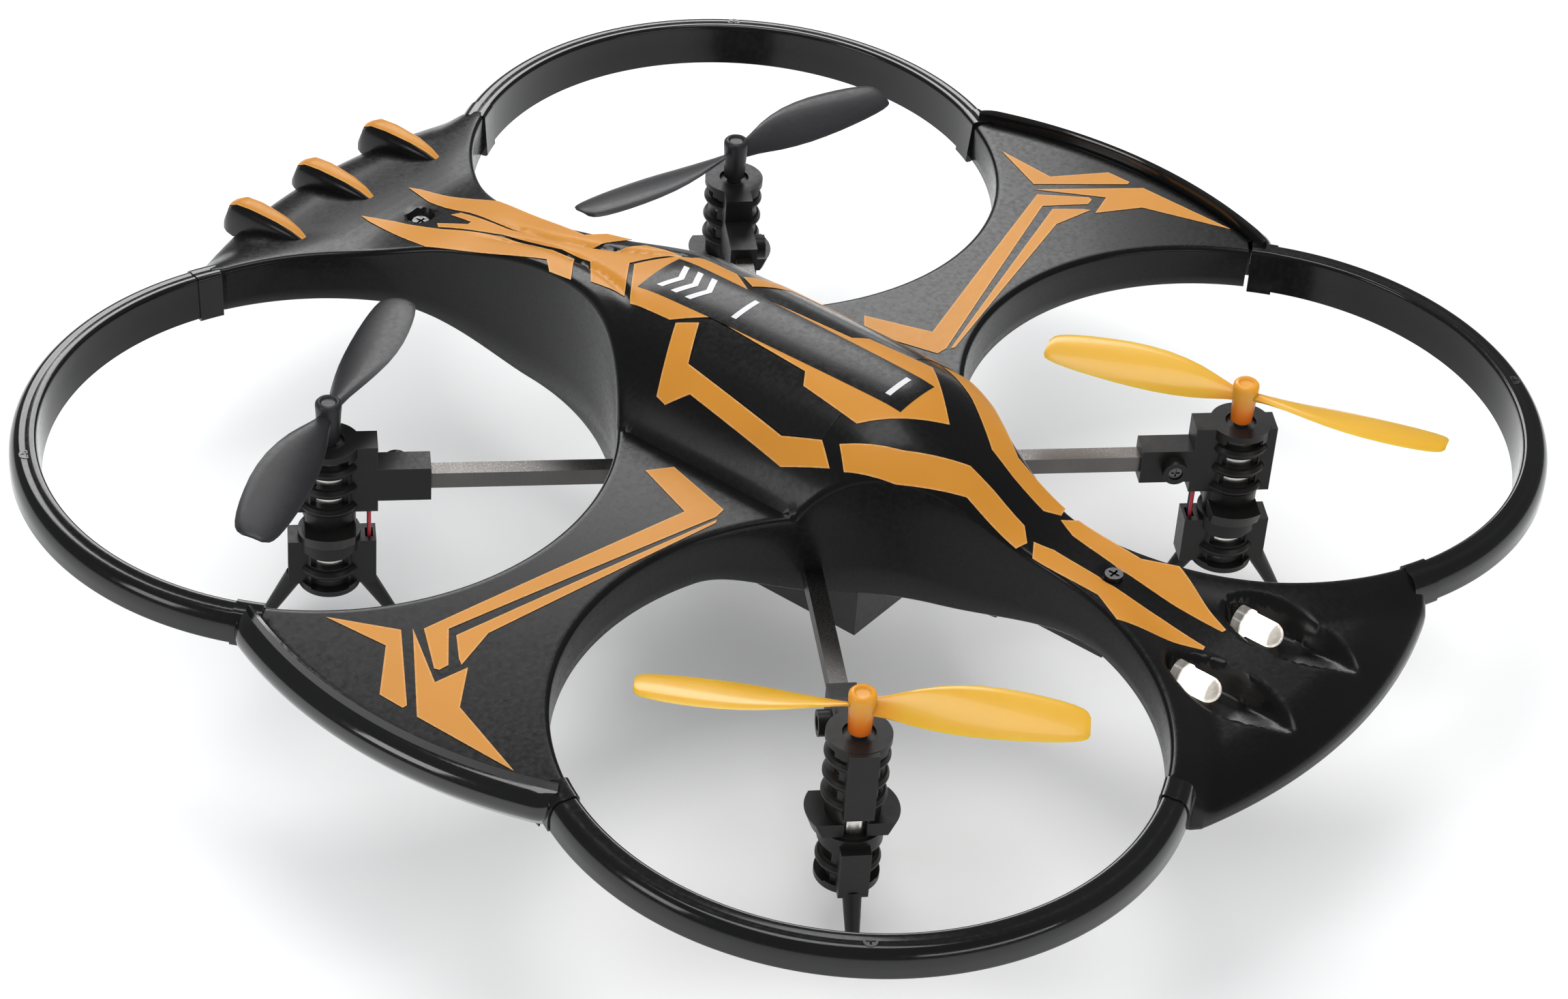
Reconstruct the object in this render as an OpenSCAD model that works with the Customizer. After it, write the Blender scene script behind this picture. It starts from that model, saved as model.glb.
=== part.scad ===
// Ring-guard quadcopter: four guard rings round two-blade propellers, a domed
// fuselage along Y, square arm tubes on the diagonals and a motor pod on each arm.
// Nose towards -Y, left is +X, up is +Z, feet stand on z = 0, origin between the motors.

/* [Layout] */
// Half distance between the left and right motor axes
motor_x = 65; // [64:0.5:66]
// Half distance between the front and rear motor axes
motor_y = 66; // [65:0.5:67]
// Height of the top of the guard rings above the ground
ring_z = 50; // [50:1:60]

/* [Guard rings] */
// Outer radius of each guard ring
ring_radius = 62.5; // [62:0.25:63]
// Clear radius inside each guard ring
hole_radius = 57; // [56.5:0.25:57.5]
// Depth of the ring wall
ring_depth = 9.5; // [8:0.5:11]
// Wall thickness of the mouldings
wall = 1.4; // [1.2:0.1:1.6]

/* [Shell] */
// Half width of the canopy at its middle
canopy_half_width = 28; // [26:0.5:30]
// Height of the canopy ridge above the ring tops
canopy_height = 19.4; // [17:0.2:22]
// How deep the fuselage walls reach below the ring tops
belly_depth = 17; // [16.5:0.5:19]
// Crown of the flat panels above the ring tops at the middle
crown = 2; // [1:0.5:3]

/* [Motor pods] */
// Radius of the motor can
can_radius = 4.25; // [4:0.05:4.25]
// Outer radius of the pod collars
collar_radius = 6.3; // [6:0.1:6.5]
// Side of the square arm tube
tube_side = 3.6; // [3.2:0.1:3.6]
// Distance of the feet from the motor axis
foot_reach = 13.5; // [12:0.5:15]

/* [Propellers] */
// Propeller tip radius
prop_radius = 42; // [38:0.5:46]
// Blade pitch angle
pitch = 13; // [8:1:18]

/* [Battery bay] */
// Battery length along Y
battery_length = 44; // [36:1:46]
// Battery width
battery_width = 22; // [18:1:24]
// Battery thickness
battery_thickness = 7.2; // [6:0.1:7.5]

/* [Hidden] */

black = [0.07, 0.07, 0.08];
orange = [0.87, 0.58, 0.2];
yellow = [0.91, 0.7, 0.16];
prop_grey = [0.16, 0.16, 0.17];
cap_grey = [0.15, 0.15, 0.16];
door_grey = [0.12, 0.12, 0.13];
screw_grey = [0.2, 0.2, 0.21];
wire_black = [0.08, 0.08, 0.08];

// Corners as signs of X and Y: front is -Y, left is +X
FL = [1, -1];
FR = [-1, -1];
RL = [1, 1];
RR = [-1, 1];
CORNERS = [FL, FR, RL, RR];

// ---- shared places; depths and negative z are measured from the ring tops ----
arm_reach = norm([motor_x, motor_y]);  // centre of the craft to a motor axis
tube_z = -13;                          // axis of the arm tubes
screw_y = [99.5, -78];                 // shell screws, rear and front
shell_boss_radius = 2.6;
ring_screw_reach = 59.3;               // ring screw from its motor axis
ring_screw_turn = 6.9;                 // angle off the arm line, towards the sides
bumper_centre_x = 30.1;                // centre of the arc along each side panel

// ---- placing helpers ----
function arm_angle(corner) = atan2(corner[1] * motor_y, corner[0] * motor_x);
function ring_centre(corner) = [corner[0] * motor_x, corner[1] * motor_y];

module at_ring_tops() translate([0, 0, ring_z]) children();
// Pod frame: X outward along the arm, Y across it, origin on the motor axis
module at_pod(corner)
  translate([corner[0] * motor_x, corner[1] * motor_y, ring_z])
    rotate([0, 0, arm_angle(corner)]) children();
// Same directions as the pod frame, origin at the centre of the craft
module along_arm(corner) at_ring_tops() rotate([0, 0, arm_angle(corner)]) children();
module at_ring_screw(corner)
  at_pod(corner) rotate([0, 0, -ring_screw_turn * corner[0] * corner[1]])
    translate([ring_screw_reach, 0, 0]) children();
// Mirrors 2D shapes drawn for +X when side is -1
module on_side(side) mirror([side > 0 ? 0 : 1, 0]) children();

module block(size, centre) translate(centre) cube(size, center = true);
module drum(z, h, r, fn = 64) translate([0, 0, z]) cylinder(h = h, r = r, $fn = fn);

// ---- ends of the guard arcs, measured from each ring centre ----
side_end = [50.9, 27.5];  // at the side panel: X outward, Y towards the middle
tip_end = [22, 54];       // at the nose or tail: X towards the middle, Y outward
function side_angle(corner) = atan2(-corner[1] * side_end[1], corner[0] * side_end[0]);
function tip_angle(corner) = atan2(corner[1] * tip_end[1], -corner[0] * tip_end[0]);
// Signed sweep from side end to tip end, the short way round the outside
function arc_sweep(corner) = ((tip_angle(corner) - side_angle(corner) + 540) % 360) - 180;

// ---- plan shapes ----
nose_y = 132.3;              // nose and tail edge on the centre line
nose_radius = 120;
nose_width = 88;
side_panel_radius = 94.4;
side_panel = [130, 84];
fuselage_y = 17;             // middle of the fuselage along Y
fuselage_length = 156;

module four_circles(r) for (corner = CORNERS) translate(ring_centre(corner)) circle(r = r, $fn = 160);

// Sector taken out of the shell for one guard arc
module guard_sector(corner) {
  radius = 80;
  clearance = 0.1;  // degrees at each end
  steps = 8;
  start = side_angle(corner);
  sweep = arc_sweep(corner);
  margin = clearance * (sweep > 0 ? 1 : -1);
  translate(ring_centre(corner))
    polygon(concat([[0, 0]], [for (i = [0:steps])
      let (a = start - margin + (sweep + 2 * margin) * i / steps)
      [radius * cos(a), radius * sin(a)]]));
}
module outline(inset = 0) {
  four_circles(ring_radius - inset);
  intersection() {
    for (end = [-1, 1])
      translate([0, end * (nose_y - nose_radius)]) circle(r = nose_radius - inset, $fn = 240);
    square([nose_width - 2 * inset, 280], center = true);
  }
  for (side = [-1, 1]) intersection() {
    translate([side * bumper_centre_x, 0]) circle(r = side_panel_radius - inset, $fn = 240);
    translate([side * side_panel[0] / 2, 0]) square(side_panel, center = true);
  }
}
module shell_2d() difference() {
  outline();
  four_circles(hole_radius);
  for (corner = CORNERS) guard_sector(corner);
}
module skirt_2d() difference() {
  shell_2d();
  outline(wall);
}
module hole_wall_2d() intersection() {
  shell_2d();
  four_circles(hole_radius + wall);
}
module fuselage_2d(inset) difference() {
  translate([0, fuselage_y])
    square([2 * (canopy_half_width - 0.15 - inset), fuselage_length - 2 * inset], center = true);
  four_circles(hole_radius + 0.3 + inset);
}
// Pair of tapered headlight scoops, widening towards the nose
module scoop_2d(grow) {
  rear_y = -104;
  front_y = -117.6;
  for (side = [-1, 1]) {
    translate([side * 10.8, rear_y]) circle(r = 5 + grow, $fn = 48);
    translate([side * 11, front_y]) circle(r = 6.2 + grow, $fn = 48);
    polygon([[side * (5.8 - grow), rear_y], [side * (15.8 + grow), rear_y],
      [side * (17.2 + grow), front_y], [side * (4.8 - grow), front_y]]);
  }
}

// ---- crowned panel surface: a very shallow dome turned about Z ----
crown_radius = 2600;
crown_step = 16;
crown_steps = 12;
panel_skin = 1.6;
function crown_z(r) = crown - r * r / (2 * crown_radius);
module crown_solid(raise = 0) at_ring_tops() rotate_extrude($fn = 240)
  polygon(concat(
    [for (i = [0:crown_steps]) [i * crown_step, crown_z(i * crown_step) + raise]],
    [[crown_steps * crown_step, -40], [0, -40]]));

// ---- canopy: arched cross-sections along the ridge ----
// [y, height above the ring tops], rear to front, for a ridge of ridge_top
RIDGE = [
  [95.5, 3.1], [86, 6.6], [77, 8.9], [65, 12.2], [52, 15], [33, 18.8], [18, 19.4],
  [0, 19.4], [-14, 19.2], [-29, 18.5], [-37, 15.8], [-45, 12], [-53, 6.8], [-61.5, 1.6]];
ridge_top = 19.4;
arch_steps = 18;
function arch_z(t) = pow(max(0, 1 - pow(abs(t), 2.6)), 0.4545);
function arch_points(y, height, half_width, depth) = concat(
  [[half_width, y, ring_z - depth], [-half_width, y, ring_z - depth]],
  [for (i = [0:arch_steps]) let (t = -1 + 2 * i / arch_steps)
    [t * half_width, y, ring_z + height * arch_z(t)]]);
module canopy_body(inset, depth) {
  last = len(RIDGE) - 1;
  ring = arch_steps + 3;  // points in one section
  points = [for (j = [0:last]) let (
      station = RIDGE[j],
      y = station[0] + (j == 0 ? -inset : (j == last ? inset : 0)),
      height = max(0.6, station[1] * canopy_height / ridge_top - inset))
    each arch_points(y, height, canopy_half_width - inset, depth)];
  polyhedron(points = points, faces = concat(
    [for (j = [0:last - 1], i = [0:ring - 1])
      let (a = j * ring + i, b = j * ring + (i + 1) % ring)
      each [[a, b, b + ring], [a, b + ring, a + ring]]],
    [[for (i = [0:ring - 1]) ring - 1 - i]],
    [[for (i = [0:ring - 1]) last * ring + i]]));
}
module canopy_outer() intersection() {
  translate([0, 0, ring_z - belly_depth]) linear_extrude(60) fuselage_2d(0);
  canopy_body(0, belly_depth + 1);
}
module canopy_inner() intersection() {
  translate([0, 0, ring_z - belly_depth - 1]) linear_extrude(60) fuselage_2d(wall);
  canopy_body(wall, belly_depth + 2.5);
}

module tail_gill(side) hull() {
  translate([side * 19, 112.5, ring_z - 0.2]) sphere(r = 1, $fn = 20);
  translate([side * 20, 119, ring_z]) sphere(r = 3, $fn = 20);
  translate([side * 21.6, 127.9, ring_z - 1.6]) sphere(r = 3.1, $fn = 20);
}

module upper_shell() color(black) difference() {
  union() {
    // top skin of the panels
    intersection() {
      translate([0, 0, ring_z - 15]) linear_extrude(30) shell_2d();
      difference() {
        crown_solid();
        crown_solid(-panel_skin);
      }
    }
    // walls round the four openings and the outer skirt
    intersection() {
      translate([0, 0, ring_z - ring_depth]) linear_extrude(20) {
        hole_wall_2d();
        skirt_2d();
      }
      crown_solid();
    }
    canopy_outer();
    for (side = [-1, 0, 1]) tail_gill(side);
    // floors of the headlight scoops
    translate([0, 0, ring_z - 8.2]) linear_extrude(6.6) intersection() {
      scoop_2d(1.2);
      outline(0.4);
    }
    // bosses of the two shell screws
    for (y = screw_y) translate([0, y, ring_z]) drum(z = -8, h = 9, r = shell_boss_radius, fn = 48);
  }
  canopy_inner();
  // headlight scoops
  translate([0, 0, ring_z - 6.9]) linear_extrude(20) intersection() {
    scoop_2d(0);
    outline(1.6);
  }
  // holes and head recesses of the shell screws
  for (y = screw_y) translate([0, y, ring_z]) {
    drum(z = -9, h = 20, r = 0.85, fn = 32);
    drum(z = 0.4, h = 10, r = 1.9, fn = 32);
  }
  // low openings at the rear and front ends for the keel tabs of the belly
  block([60, 4, 9.7], [0, 94.2, ring_z - 12.9]);
  block([60, 4, 8], [0, -60.6, ring_z - 13.6]);
  // square openings for the arm tubes
  for (corner = CORNERS) along_arm(corner)
    block([8, tube_side + 0.2, tube_side + 0.2], [arm_reach - hole_radius - 0.7, 0, tube_z]);
}

// ---- belly: floor, battery bay and keel tabs ----
bay_width = 34;
bay_length = 62;
bay_depth = 29.6;     // bottom of the bay
switch_z = -22;
switch_slot = [6.2, 2.2];
board_bottom = 9;
keel_tab_width = 6;
keel_tab_start = 56;

module at_board_holes() for (x = [-14, 14], y = [-20, 20]) translate([x, y, 0]) children();

module lower_shell() color([0.1, 0.1, 0.11]) at_ring_tops() difference() {
  union() {
    translate([0, 0, -belly_depth]) linear_extrude(wall) intersection() {
      fuselage_2d(wall + 0.2);
      square([60, 114], center = true);
    }
    // battery bay walls
    translate([0, 0, -bay_depth]) linear_extrude(bay_depth - belly_depth) difference() {
      square([bay_width, bay_length], center = true);
      square([bay_width - 2 * wall, bay_length - 2 * wall], center = true);
    }
    // rails under the door
    for (side = [-1, 1]) block([2.2, bay_length, 1], [side * 14.9, 0, 0.5 - bay_depth]);
    // board posts
    at_board_holes() drum(z = -belly_depth, h = belly_depth - board_bottom, r = 1.2, fn = 32);
    // keel tabs out to the shell screws
    for (y = screw_y) {
      root = sign(y) * keel_tab_start;
      tip = y + sign(y) * 1.5;
      translate([-keel_tab_width / 2, min(root, tip), -belly_depth])
        cube([keel_tab_width, abs(tip - root), wall]);
      translate([0, y, 0])
        drum(z = -belly_depth, h = belly_depth - 8.1, r = shell_boss_radius, fn = 48);
    }
  }
  for (y = screw_y) translate([0, y, 0]) drum(z = -belly_depth - 1, h = 20, r = 0.6, fn = 32);
  // lead-through to the board
  block([6, 4, 6], [0, -24, -belly_depth]);
  // door mouth at the rear
  block([27.4, 6, 3.4], [0, bay_length / 2, -28.6]);
  block([31.1, 6, 1.7], [0, bay_length / 2, -27.75]);
  // switch slot in the left wall
  block([4, switch_slot[0], switch_slot[1]], [16.5, 0, switch_z]);
}

// Sliding door with five grip ribs near its rear end
module battery_door() color(door_grey) at_ring_tops() union() {
  block([30.6, 57.6, 1.1], [0, 0.5, -27.9]);
  for (i = [-2:2]) block([14, 0.8, 0.8], [0, 20 + i * 2, -28.6]);
}

// ---- half-pipe side bumpers ----
bumper_half_angle = 24;
// [radius from the side arc centre, z from the ring tops]
BUMPER_PROFILE = [
  [94.5, -ring_depth + 1.5], [94.5, 1.4], [95.6, 1.6], [96.8, 1.3], [98, 0.4], [98.9, -0.9],
  [99.35, -2.4], [99.4, -4], [99.1, -5.6], [98.4, -7], [97.4, -7.9], [97.4, -6.6], [98, -5],
  [98.1, -3.6], [97.8, -1.8], [96.9, -0.6], [95.8, -0.2], [95.8, -ring_depth + 1.5]];
module bumper(side) color(black) difference() {
  translate([side * bumper_centre_x, 0, ring_z])
    rotate([0, 0, (side > 0 ? 0 : 180) - bumper_half_angle])
      rotate_extrude(angle = 2 * bumper_half_angle, $fn = 240) polygon(BUMPER_PROFILE);
  // ends cut to follow the guard rings
  for (end = [-1, 1]) translate([side * motor_x, end * motor_y, ring_z])
    drum(z = -12, h = 16, r = ring_radius + 0.15, fn = 160);
}
module bumper_left() bumper(1);
module bumper_right() bumper(-1);

// ---- guard ring arcs ----
// Profiles are [radius from the motor axis, z from the ring tops]
GUARD_PROFILE = [
  [hole_radius, -ring_depth], [hole_radius, -0.9], [hole_radius + 0.3, -0.35],
  [hole_radius + 0.9, 0], [ring_radius - 2.2, 0], [ring_radius - 1, -0.35],
  [ring_radius - 0.3, -1.1], [ring_radius, -2.2], [ring_radius, -ring_depth + 1],
  [ring_radius - wall, -ring_depth + 1], [ring_radius - wall, -1.6],
  [hole_radius + wall, -1.6], [hole_radius + wall, -ring_depth]];
// Rectangle between the two ring walls; gap is the space left at each wall
function between_walls(gap, low, high) = [
  [hole_radius + wall + gap, low], [hole_radius + wall + gap, high],
  [ring_radius - wall - gap, high], [ring_radius - wall - gap, low]];
module arc(start, sweep, profile)
  rotate([0, 0, start]) rotate_extrude(angle = sweep, $fn = 160) polygon(profile);

module guard(corner) color(black) {
  sweep = abs(arc_sweep(corner));
  start = arc_sweep(corner) > 0 ? side_angle(corner) : tip_angle(corner);
  difference() {
    union() {
      translate([corner[0] * motor_x, corner[1] * motor_y, ring_z]) {
        arc(start, sweep, GUARD_PROFILE);
        // tongues that slide into the shell at both ends
        for (a = [start - 4, start + sweep - 6]) arc(a, 10, between_walls(0.3, -7.5, -3.2));
        // filling under the top
        arc(start + 1, sweep - 2, between_walls(-0.2, -3.8, -1.2));
      }
      at_ring_screw(corner) drum(z = -8, h = 7, r = 1.9, fn = 40);
    }
    at_ring_screw(corner) drum(z = -9, h = 12, r = 0.75, fn = 32);
    at_ring_screw(corner) drum(z = -0.9, h = 3, r = 1.45, fn = 32);
  }
}
module ring_guard_fl() guard(FL);
module ring_guard_fr() guard(FR);
module ring_guard_rl() guard(RL);
module ring_guard_rr() guard(RR);

// ---- arms ----
tube_start = 12;                               // inner end, from the centre of the craft
tube_length = arm_reach - 11.5 - tube_start;   // stops 11.5 short of the motor axis
tube_wall = 0.5;
hub_z = tube_z + 0.2;
hub_side = 16;
hub_height = 5.2;

module arm_tube(corner) color([0.35, 0.34, 0.34]) along_arm(corner)
  translate([0, 0, tube_z]) difference() {
    translate([tube_start, -tube_side / 2, -tube_side / 2])
      cube([tube_length, tube_side, tube_side]);
    translate([tube_start - 1, tube_wall - tube_side / 2, tube_wall - tube_side / 2])
      cube([tube_length + 2, tube_side - 2 * tube_wall, tube_side - 2 * tube_wall]);
  }
module arm_tube_fl() arm_tube(FL);
module arm_tube_fr() arm_tube(FR);
module arm_tube_rl() arm_tube(RL);
module arm_tube_rr() arm_tube(RR);

module arm_hub() color([0.14, 0.14, 0.15]) difference() {
  union() {
    block([hub_side, hub_side, hub_height], [0, 0, ring_z + hub_z]);
    for (corner = CORNERS) along_arm(corner) block([16, 7, hub_height], [14, 0, hub_z]);
  }
  // tube sockets, then narrow wire passages to the middle
  for (corner = CORNERS) along_arm(corner)
    block([36, tube_side + 0.1, tube_side + 0.1], [tube_start + 36 / 2 - 0.1, 0, tube_z]);
  for (corner = CORNERS) along_arm(corner) block([8, 2.2, 2.2], [10, 0, tube_z]);
  at_ring_tops() drum(z = -20, h = 20, r = 3, fn = 40);
}

// ---- motor pods ----
pod_radius = 5.4;                  // plain part of the pod wall
bore_radius = can_radius + 0.05;
spine_width = 5.8;
clamp_x = -13.5;                   // clamp screw on the tube socket
wire_x = -8;                       // wires down the inner side of the pod
wire_radius = 0.42;

module slots(z) for (side = [-1, 1]) block([7.6, 4.2, 2.2], [0, side * 5.4, z]);
// Rounded rib round the pod; root is its half height at the pod wall
module rib(z, root) translate([0, 0, z]) rotate_extrude($fn = 64)
  polygon([[5, -root], [5.9, -0.9], [collar_radius, -0.2],
    [collar_radius, 0.2], [5.9, 0.9], [5, root]]);
// Clamp screw axis: local Z points to -Y of the pod frame
module at_clamp() translate([clamp_x, 0, tube_z]) rotate([90, 0, 0]) children();

module holder(corner) color(black) at_pod(corner) difference() {
  union() {
    drum(z = -6.2, h = 2.5, r = collar_radius);
    drum(z = -19.5, h = 15, r = pod_radius);
    // rounded ribs between the slots
    for (z = [-8.4, -13.2, -17.9]) rib(z, root = 1.3);
    // flat spine on the outer side
    block([3.2, spine_width, 15.6], [5.6, 0, -11.6]);
    // neck and tube socket on the inner side
    block([5.8, spine_width, 15.8], [-6.8, 0, -11.6]);
    block([11.8, spine_width, 7.8], [-14.4, 0, tube_z]);
    at_clamp() drum(z = 2.4, h = 3, r = 2.6, fn = 48);
  }
  // bore for the can, stopped by a thin roof with a hole for the propeller hub
  drum(z = -30, h = 25.6, r = bore_radius);
  drum(z = -10, h = 10, r = 3.2);
  for (z = [-6.2, -10.9, -15.6]) slots(z);
  // square socket and wire channel
  block([10.6, tube_side + 0.06, tube_side + 0.06], [-15.2, 0, tube_z]);
  block([2.4, 3, 8], [wire_x, 0, -16.2]);
  block([4, 3, 2.4], [-9, 0, tube_z]);
  // clamp screw hole and head recess
  at_clamp() drum(z = 0, h = 8, r = 0.8, fn = 32);
  at_clamp() drum(z = 4, h = 4, r = 1.5, fn = 32);
}
module motor_holder_fl() holder(FL);
module motor_holder_fr() holder(FR);
module motor_holder_rl() holder(RL);
module motor_holder_rr() holder(RR);

leg_top = [7, -37.4];              // x and z where a leg leaves the pod
leg_drop = 11.2;
leg_spread = foot_reach - leg_top[0];
leg_length = norm([leg_spread, leg_drop]);
leg_tilt = atan2(leg_spread, leg_drop);
pad_radius = 1.6;
housing_bottom = -38.6;

// Tapered leg and round foot pad; side 1 is outward, -1 inward
module leg(side) {
  translate([side * leg_top[0], 0, leg_top[1]]) rotate([0, 180 - side * leg_tilt, 0])
    cylinder(h = leg_length, r1 = 1.9, r2 = 1.05, $fn = 40);
  translate([side * foot_reach, 0, -48.7]) sphere(r = pad_radius, $fn = 40);
  translate([side * foot_reach, 0, 0]) drum(z = -50, h = 1.3, r = pad_radius, fn = 40);
}
module housing(corner) color(black) at_pod(corner) difference() {
  union() {
    drum(z = housing_bottom, h = 19, r = pod_radius);
    drum(z = -29, h = 3.4, r = collar_radius);
    drum(z = housing_bottom, h = 1.6, r = collar_radius);
    rib(-33.8, root = 1.4);
    // flat spines, outer and inner
    block([4.6, spine_width, 10.6], [6, 0, -32.3]);
    block([5, spine_width, 10.6], [-6.9, 0, -32.3]);
    // saddle flange with round ends on both sides of the pod
    intersection() {
      translate([0, 0, -25.2]) cylinder(h = 3, r1 = 8, r2 = 9.1, $fn = 64);
      block([10, 20, 6], [0, 0, -24]);
    }
    for (side = [-1, 1]) leg(side);
  }
  drum(z = -38.1, h = 20, r = bore_radius);
  // window on the outer side where the can shows
  block([6, 4.4, 4.4], [6, 0, -23.2]);
  for (z = [-31.3, -36.3]) slots(z);
  // wire channel inside the inner spine
  block([1.6, 3, 11], [wire_x, 0, -31.6]);
  block([5, 3, 2], [-6, 0, -37.1]);
}
module foot_housing_fl() housing(FL);
module foot_housing_fr() housing(FR);
module foot_housing_rl() housing(RL);
module foot_housing_rr() housing(RR);

module can(corner) color([0.8, 0.79, 0.77]) at_pod(corner) difference() {
  union() {
    drum(z = -36.4, h = 31.9, r = can_radius);
    drum(z = -4.6, h = 0.9, r = 1.5, fn = 32);
  }
  drum(z = -37, h = 40, r = 0.55, fn = 32);
}
module motor_can_fl() can(FL);
module motor_can_fr() can(FR);
module motor_can_rl() can(RL);
module motor_can_rr() can(RR);

module cap(corner) color(cap_grey) at_pod(corner) drum(z = -38, h = 1.5, r = can_radius);
module motor_cap_fl() cap(FL);
module motor_cap_fr() cap(FR);
module motor_cap_rl() cap(RL);
module motor_cap_rr() cap(RR);

// Red and blue wires from under the can, up the pod and in through the arm tube
module wires(corner) {
  low_z = -37;
  at_pod(corner) for (side = [-1, 1]) color(side < 0 ? [0.72, 0.16, 0.2] : [0.1, 0.12, 0.35])
    translate([wire_x, side * 0.7, 0]) {
      drum(z = low_z, h = tube_z - low_z, r = wire_radius, fn = 32);
      for (z = [low_z, tube_z]) translate([0, 0, z]) sphere(r = wire_radius, $fn = 32);
      translate([0, 0, low_z]) rotate([0, 90, 0]) cylinder(h = 3.6, r = wire_radius, $fn = 32);
      translate([0, 0, tube_z]) rotate([0, -90, 0])
        cylinder(h = arm_reach - 19, r = wire_radius, $fn = 32);
    }
}
module motor_wires_fl() wires(FL);
module motor_wires_fr() wires(FR);
module motor_wires_rl() wires(RL);
module motor_wires_rr() wires(RR);

module shaft(corner) color([0.75, 0.75, 0.77]) at_pod(corner) drum(z = -30, h = 34.6, r = 0.5, fn = 32);
module motor_shaft_fl() shaft(FL);
module motor_shaft_fr() shaft(FR);
module motor_shaft_rl() shaft(RL);
module motor_shaft_rr() shaft(RR);

// ---- propellers ----
blade_thickness = 0.9;
// [distance from the motor axis, distance across the blade]
BLADE_OUTLINE = [
  [0.5, -1.6], [6, -2.4], [14, -4.6], [23, -6.2], [32, -6], [39, -5],
  [prop_radius - 0.6, -3.6], [prop_radius, -1.5], [prop_radius, 2], [prop_radius - 1.4, 3.6],
  [35, 4.6], [26, 5.4], [16, 5], [8, 3], [0.5, 1.7]];
module blade(hand) rotate([hand * pitch, 0, 0])
  translate([0, 0, -blade_thickness / 2]) linear_extrude(blade_thickness) polygon(BLADE_OUTLINE);
// rest_angle: direction of one blade; hand: sign of the blade pitch
module prop(corner, rest_angle, hand, paint) color(paint)
  translate([corner[0] * motor_x, corner[1] * motor_y, ring_z]) difference() {
    union() {
      translate([0, 0, -3.5]) cylinder(h = 8.5, r1 = 2.2, r2 = 2.6, $fn = 48);
      translate([0, 0, 5]) cylinder(h = 1, r1 = 2.6, r2 = 2.1, $fn = 48);
      for (turn = [0, 180])
        rotate([0, 0, rest_angle + turn]) translate([0, 0, 2.4]) blade(hand);
    }
    drum(z = -4, h = 8.7, r = 0.505, fn = 32);
  }
module propeller_fl() prop(FL, -72, 1, yellow);
module propeller_fr() prop(FR, -55.5, -1, yellow);
module propeller_rl() prop(RL, -12, -1, prop_grey);
module propeller_rr() prop(RR, 22, 1, prop_grey);

// ---- fasteners ----
// head and shank are [z, height, radius]; recess is [z, length, width, depth]
module screw(head, shank, recess) difference() {
  union() {
    drum(z = head[0], h = head[1], r = head[2], fn = 40);
    drum(z = shank[0], h = shank[1], r = shank[2], fn = 32);
  }
  block([recess[1], recess[2], recess[3]], [0, 0, recess[0]]);
  block([recess[2], recess[1], recess[3]], [0, 0, recess[0]]);
}
module shell_screws() color(screw_grey) for (y = screw_y) translate([0, y, ring_z])
  screw(head = [0.4, 1, 1.8], shank = [-12, 12.6, 0.58], recess = [1.1, 2.4, 0.5, 0.8]);
module ring_screws() color([0.25, 0.25, 0.26]) for (corner = CORNERS) at_ring_screw(corner)
  screw(head = [-0.9, 0.8, 1.35], shank = [-7, 6.4, 0.72], recess = [-0.2, 1.8, 0.4, 0.6]);
module clamp_screws() color(screw_grey) for (corner = CORNERS) at_pod(corner) at_clamp()
  screw(head = [4.05, 0.9, 1.4], shank = [tube_side / 2 + 0.02, 2.6, 0.75],
    recess = [4.9, 1.8, 0.4, 0.6]);

// ---- lamps in the nose scoops, pointing forward ----
module headlight_leds() color([0.95, 0.95, 0.9]) for (side = [-1, 1])
  translate([side * 10.9, -100.2, ring_z - 4.1]) rotate([90, 0, 0]) union() {
    drum(z = 0, h = 2.6, r = 2.8, fn = 48);
    drum(z = 2.4, h = 5, r = 2.5, fn = 48);
    translate([0, 0, 7.4]) sphere(r = 2.5, $fn = 48);
  }

// ---- trim films, floating just clear of the surface ----
film_low = 0.04;
film_high = 0.2;
// Film outlines are plan points [x, y] for the +X half
SIDE_TRIM = [
  [[35.6, 8], [31.8, 5.6], [35.6, -10.8], [37.6, -10.8], [98.6, 7.6], [106.8, 0.8],
   [109, 1], [109.4, 2], [102, 11.4], [40.6, -4.8]],
  [[39, -12], [96.4, 1], [104.6, -0.4], [98.6, 5.4], [39, -11.2]],
  [[111.4, 27.6], [105.4, 13.6], [120.8, -1.2], [121, 5.6], [111.4, 14]],
  [[104.6, 12.6], [112.4, 0.4], [105.6, -1.4], [115.2, -8.2], [121, -25.6], [121, -3]]];
NOSE_TRIM = [
  [[2.4, -62.6], [6.4, -64.6], [7.6, -79], [10.8, -85.6], [4.6, -100], [3.4, -100],
   [3, -84], [2.2, -72]]];
TAIL_TRIM = [[[7.8, 108.6], [8.6, 96.4], [5, 96.4], [4.6, 100]]];
CANOPY_TRIM = [
  [[5.6, 38.6], [9.4, 47], [4.6, 54], [4.6, 62], [8, 70], [9.6, 56], [10.8, 47], [10, 36],
   [11, 24], [6.8, 17], [8, -8], [12, -16], [11.4, -25], [6, -30.6], [6, -29.6]],
  [[9.2, 19], [11.4, 22], [23.4, 16], [24, 13], [21.2, 10], [24, -15], [20.6, -24],
   [18, -20.4], [20.4, -11], [17.6, 14]]];

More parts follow.
